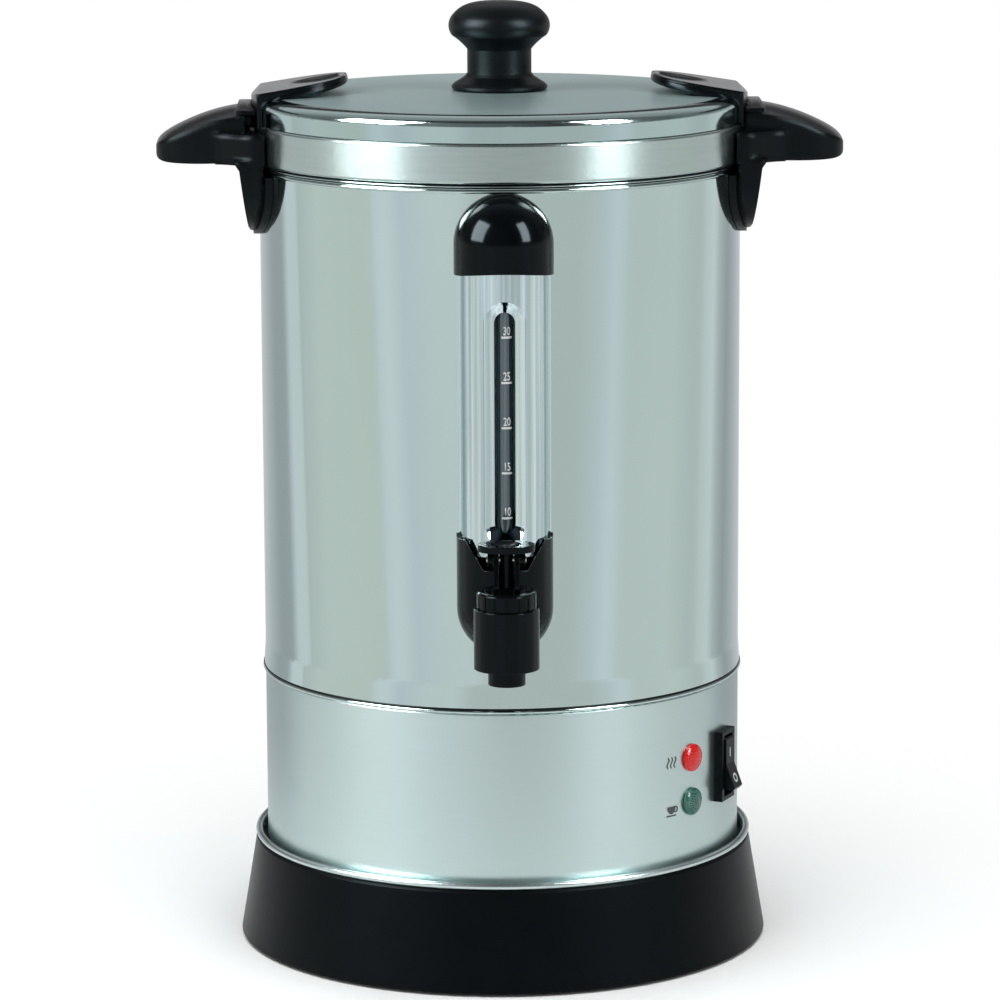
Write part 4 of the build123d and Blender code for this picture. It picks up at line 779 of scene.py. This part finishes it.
backdropHigh = [
    (0.00, 0.62, 1.02), (0.10, 0.60, 1.02), (0.17, 0.34, 1.02), (0.26, 0.14, 1.03), (0.33, 0.16, 1.05),
    (0.40, 0.28, 1.03), (0.45, 0.20, 1.03), (0.52, 0.15, 1.03), (0.55, 0.10, 1.03), (0.575, 0.05, 1.03),
    (0.60, 0.10, 1.03), (0.66, 0.20, 1.05), (0.74, 0.16, 1.03), (0.83, 0.34, 1.02), (0.90, 0.56, 1.02),
    (1.00, 0.60, 1.02),
]
# the world's plain level, its low and high backdrop with a dark strip behind, and its ceiling; each
# fade says between which heights or depths of the direction one gives way to the next
ambient = {"level": 0.60, "red": 0.995, "leaning": 0.225, "leanFrom": -0.165, "wallFade": (-0.03, 0.10),
           "strip": 0.06, "stripHeight": 0.31, "stripFade": (0.07, 0.13), "stripBehind": (0.2, 0.5),
           "ceilingFront": 0.07, "ceilingBack": 0.45, "ceilingAcross": (-0.25, 0.35),
           "ceilingFade": (0.55, 0.85)}


def stopsFrom(rows):
    return [(place, (level * ambient["red"], level, min(level * blue, 1.0))) for place, level, blue in rows]


def gray(level):
    return (level, level, level)


def makeWorld():
    world = bpy.data.worlds.new("studio")
    world.use_nodes = True
    scene.world = world
    paint = Paint(world.node_tree)
    direction = paint.node("ShaderNodeTexCoord", output="Generated")
    x, y, z = paint.split(direction)
    turn = x.angleWith(0 - y) / (2 * pi) + 0.5
    # the backdrop's stripes lean in towards the front as they go down
    lean = (ambient["leanFrom"] - z) * ambient["leaning"] * ((turn - 0.5).over(0.0) * 2 - 1)
    low = paint.node("ShaderNodeValToRGB", {"stops": stopsFrom(backdropLow)}, {0: turn + lean})
    high = paint.node("ShaderNodeValToRGB", {"stops": stopsFrom(backdropHigh)}, {0: turn})
    sides = paint.blend(paint.fade(z, *ambient["wallFade"]), low, high)
    fromStrip = abs(z - ambient["stripHeight"])
    strip = (1 - paint.fade(fromStrip, *ambient["stripFade"])) * paint.fade(y, *ambient["stripBehind"])
    sides = paint.blend(strip, sides, gray(ambient["strip"]))
    behind = paint.fade(y, *ambient["ceilingAcross"])
    ceiling = paint.blend(behind, gray(ambient["ceilingFront"]), gray(ambient["ceilingBack"]))
    around = paint.blend(paint.fade(z, *ambient["ceilingFade"]), sides, ceiling)
    rays = {}
    for kind in ("Camera", "Glossy", "Transmission"):
        rays[kind] = paint.node("ShaderNodeLightPath", output="Is " + kind + " Ray")
    # the lens sees the backdrop plain white, metal and glass see its shading, the rest a plain level
    backdrop = paint.blend(rays["Camera"], around, gray(1.0))
    seen = (rays["Camera"] + rays["Glossy"] + rays["Transmission"]).least(1.0)
    shown = paint.blend(seen, gray(ambient["level"]), backdrop)
    light = paint.node("ShaderNodeBackground", {}, {"Color": shown, "Strength": 1.0})
    paint.node("ShaderNodeOutputWorld", {}, {"Surface": light})


# lamps: angle from the front (right is positive), height angle, distance, width, height and brightness;
# the boxes are there to be mirrored, and the key to light the floor and the colours
lamps = {
    "leftBox": {"turn": -63, "rise": 30, "away": 1.7, "width": 0.95, "height": 1.15, "bright": 24.0,
                "tint": (0.97, 0.99, 1.0), "mirror": True},
    "rightBox": {"turn": 51, "rise": 30, "away": 1.7, "width": 0.55, "height": 1.15, "bright": 24.0,
                 "tint": (0.97, 0.99, 1.0), "mirror": True},
    "key": {"turn": -8, "rise": 72, "away": 2.2, "width": 2.2, "height": 2.2, "bright": 2.7,
            "tint": (1.0, 1.0, 1.0), "mirror": False},
}
lampAim = Vector((0, 0, 0.25))


def makeLamps():
    for name, box in lamps.items():
        data = bpy.data.lights.new(name, "AREA")
        data.shape = "RECTANGLE"
        data.size = box["width"]
        data.size_y = box["height"]
        data.energy = box["bright"] * pi * box["width"] * box["height"]
        data.color = box["tint"]
        thing = bpy.data.objects.new(name, data)
        turn, rise = radians(box["turn"]), radians(box["rise"])
        toBox = Vector((sin(turn) * cos(rise), -cos(turn) * cos(rise), sin(rise)))
        thing.rotation_mode = "QUATERNION"
        thing.rotation_quaternion = toBox.to_track_quat("Z", "Y")
        thing.location = lampAim + toBox * box["away"]
        thing.visible_camera = False
        thing.visible_diffuse = not box["mirror"]
        thing.visible_glossy = box["mirror"]
        scene.collection.objects.link(thing)


makeCamera()
makeFloor()
makeWorld()
makeLamps()
scene.view_settings.view_transform = "Standard"
print("camera, floor and light done")
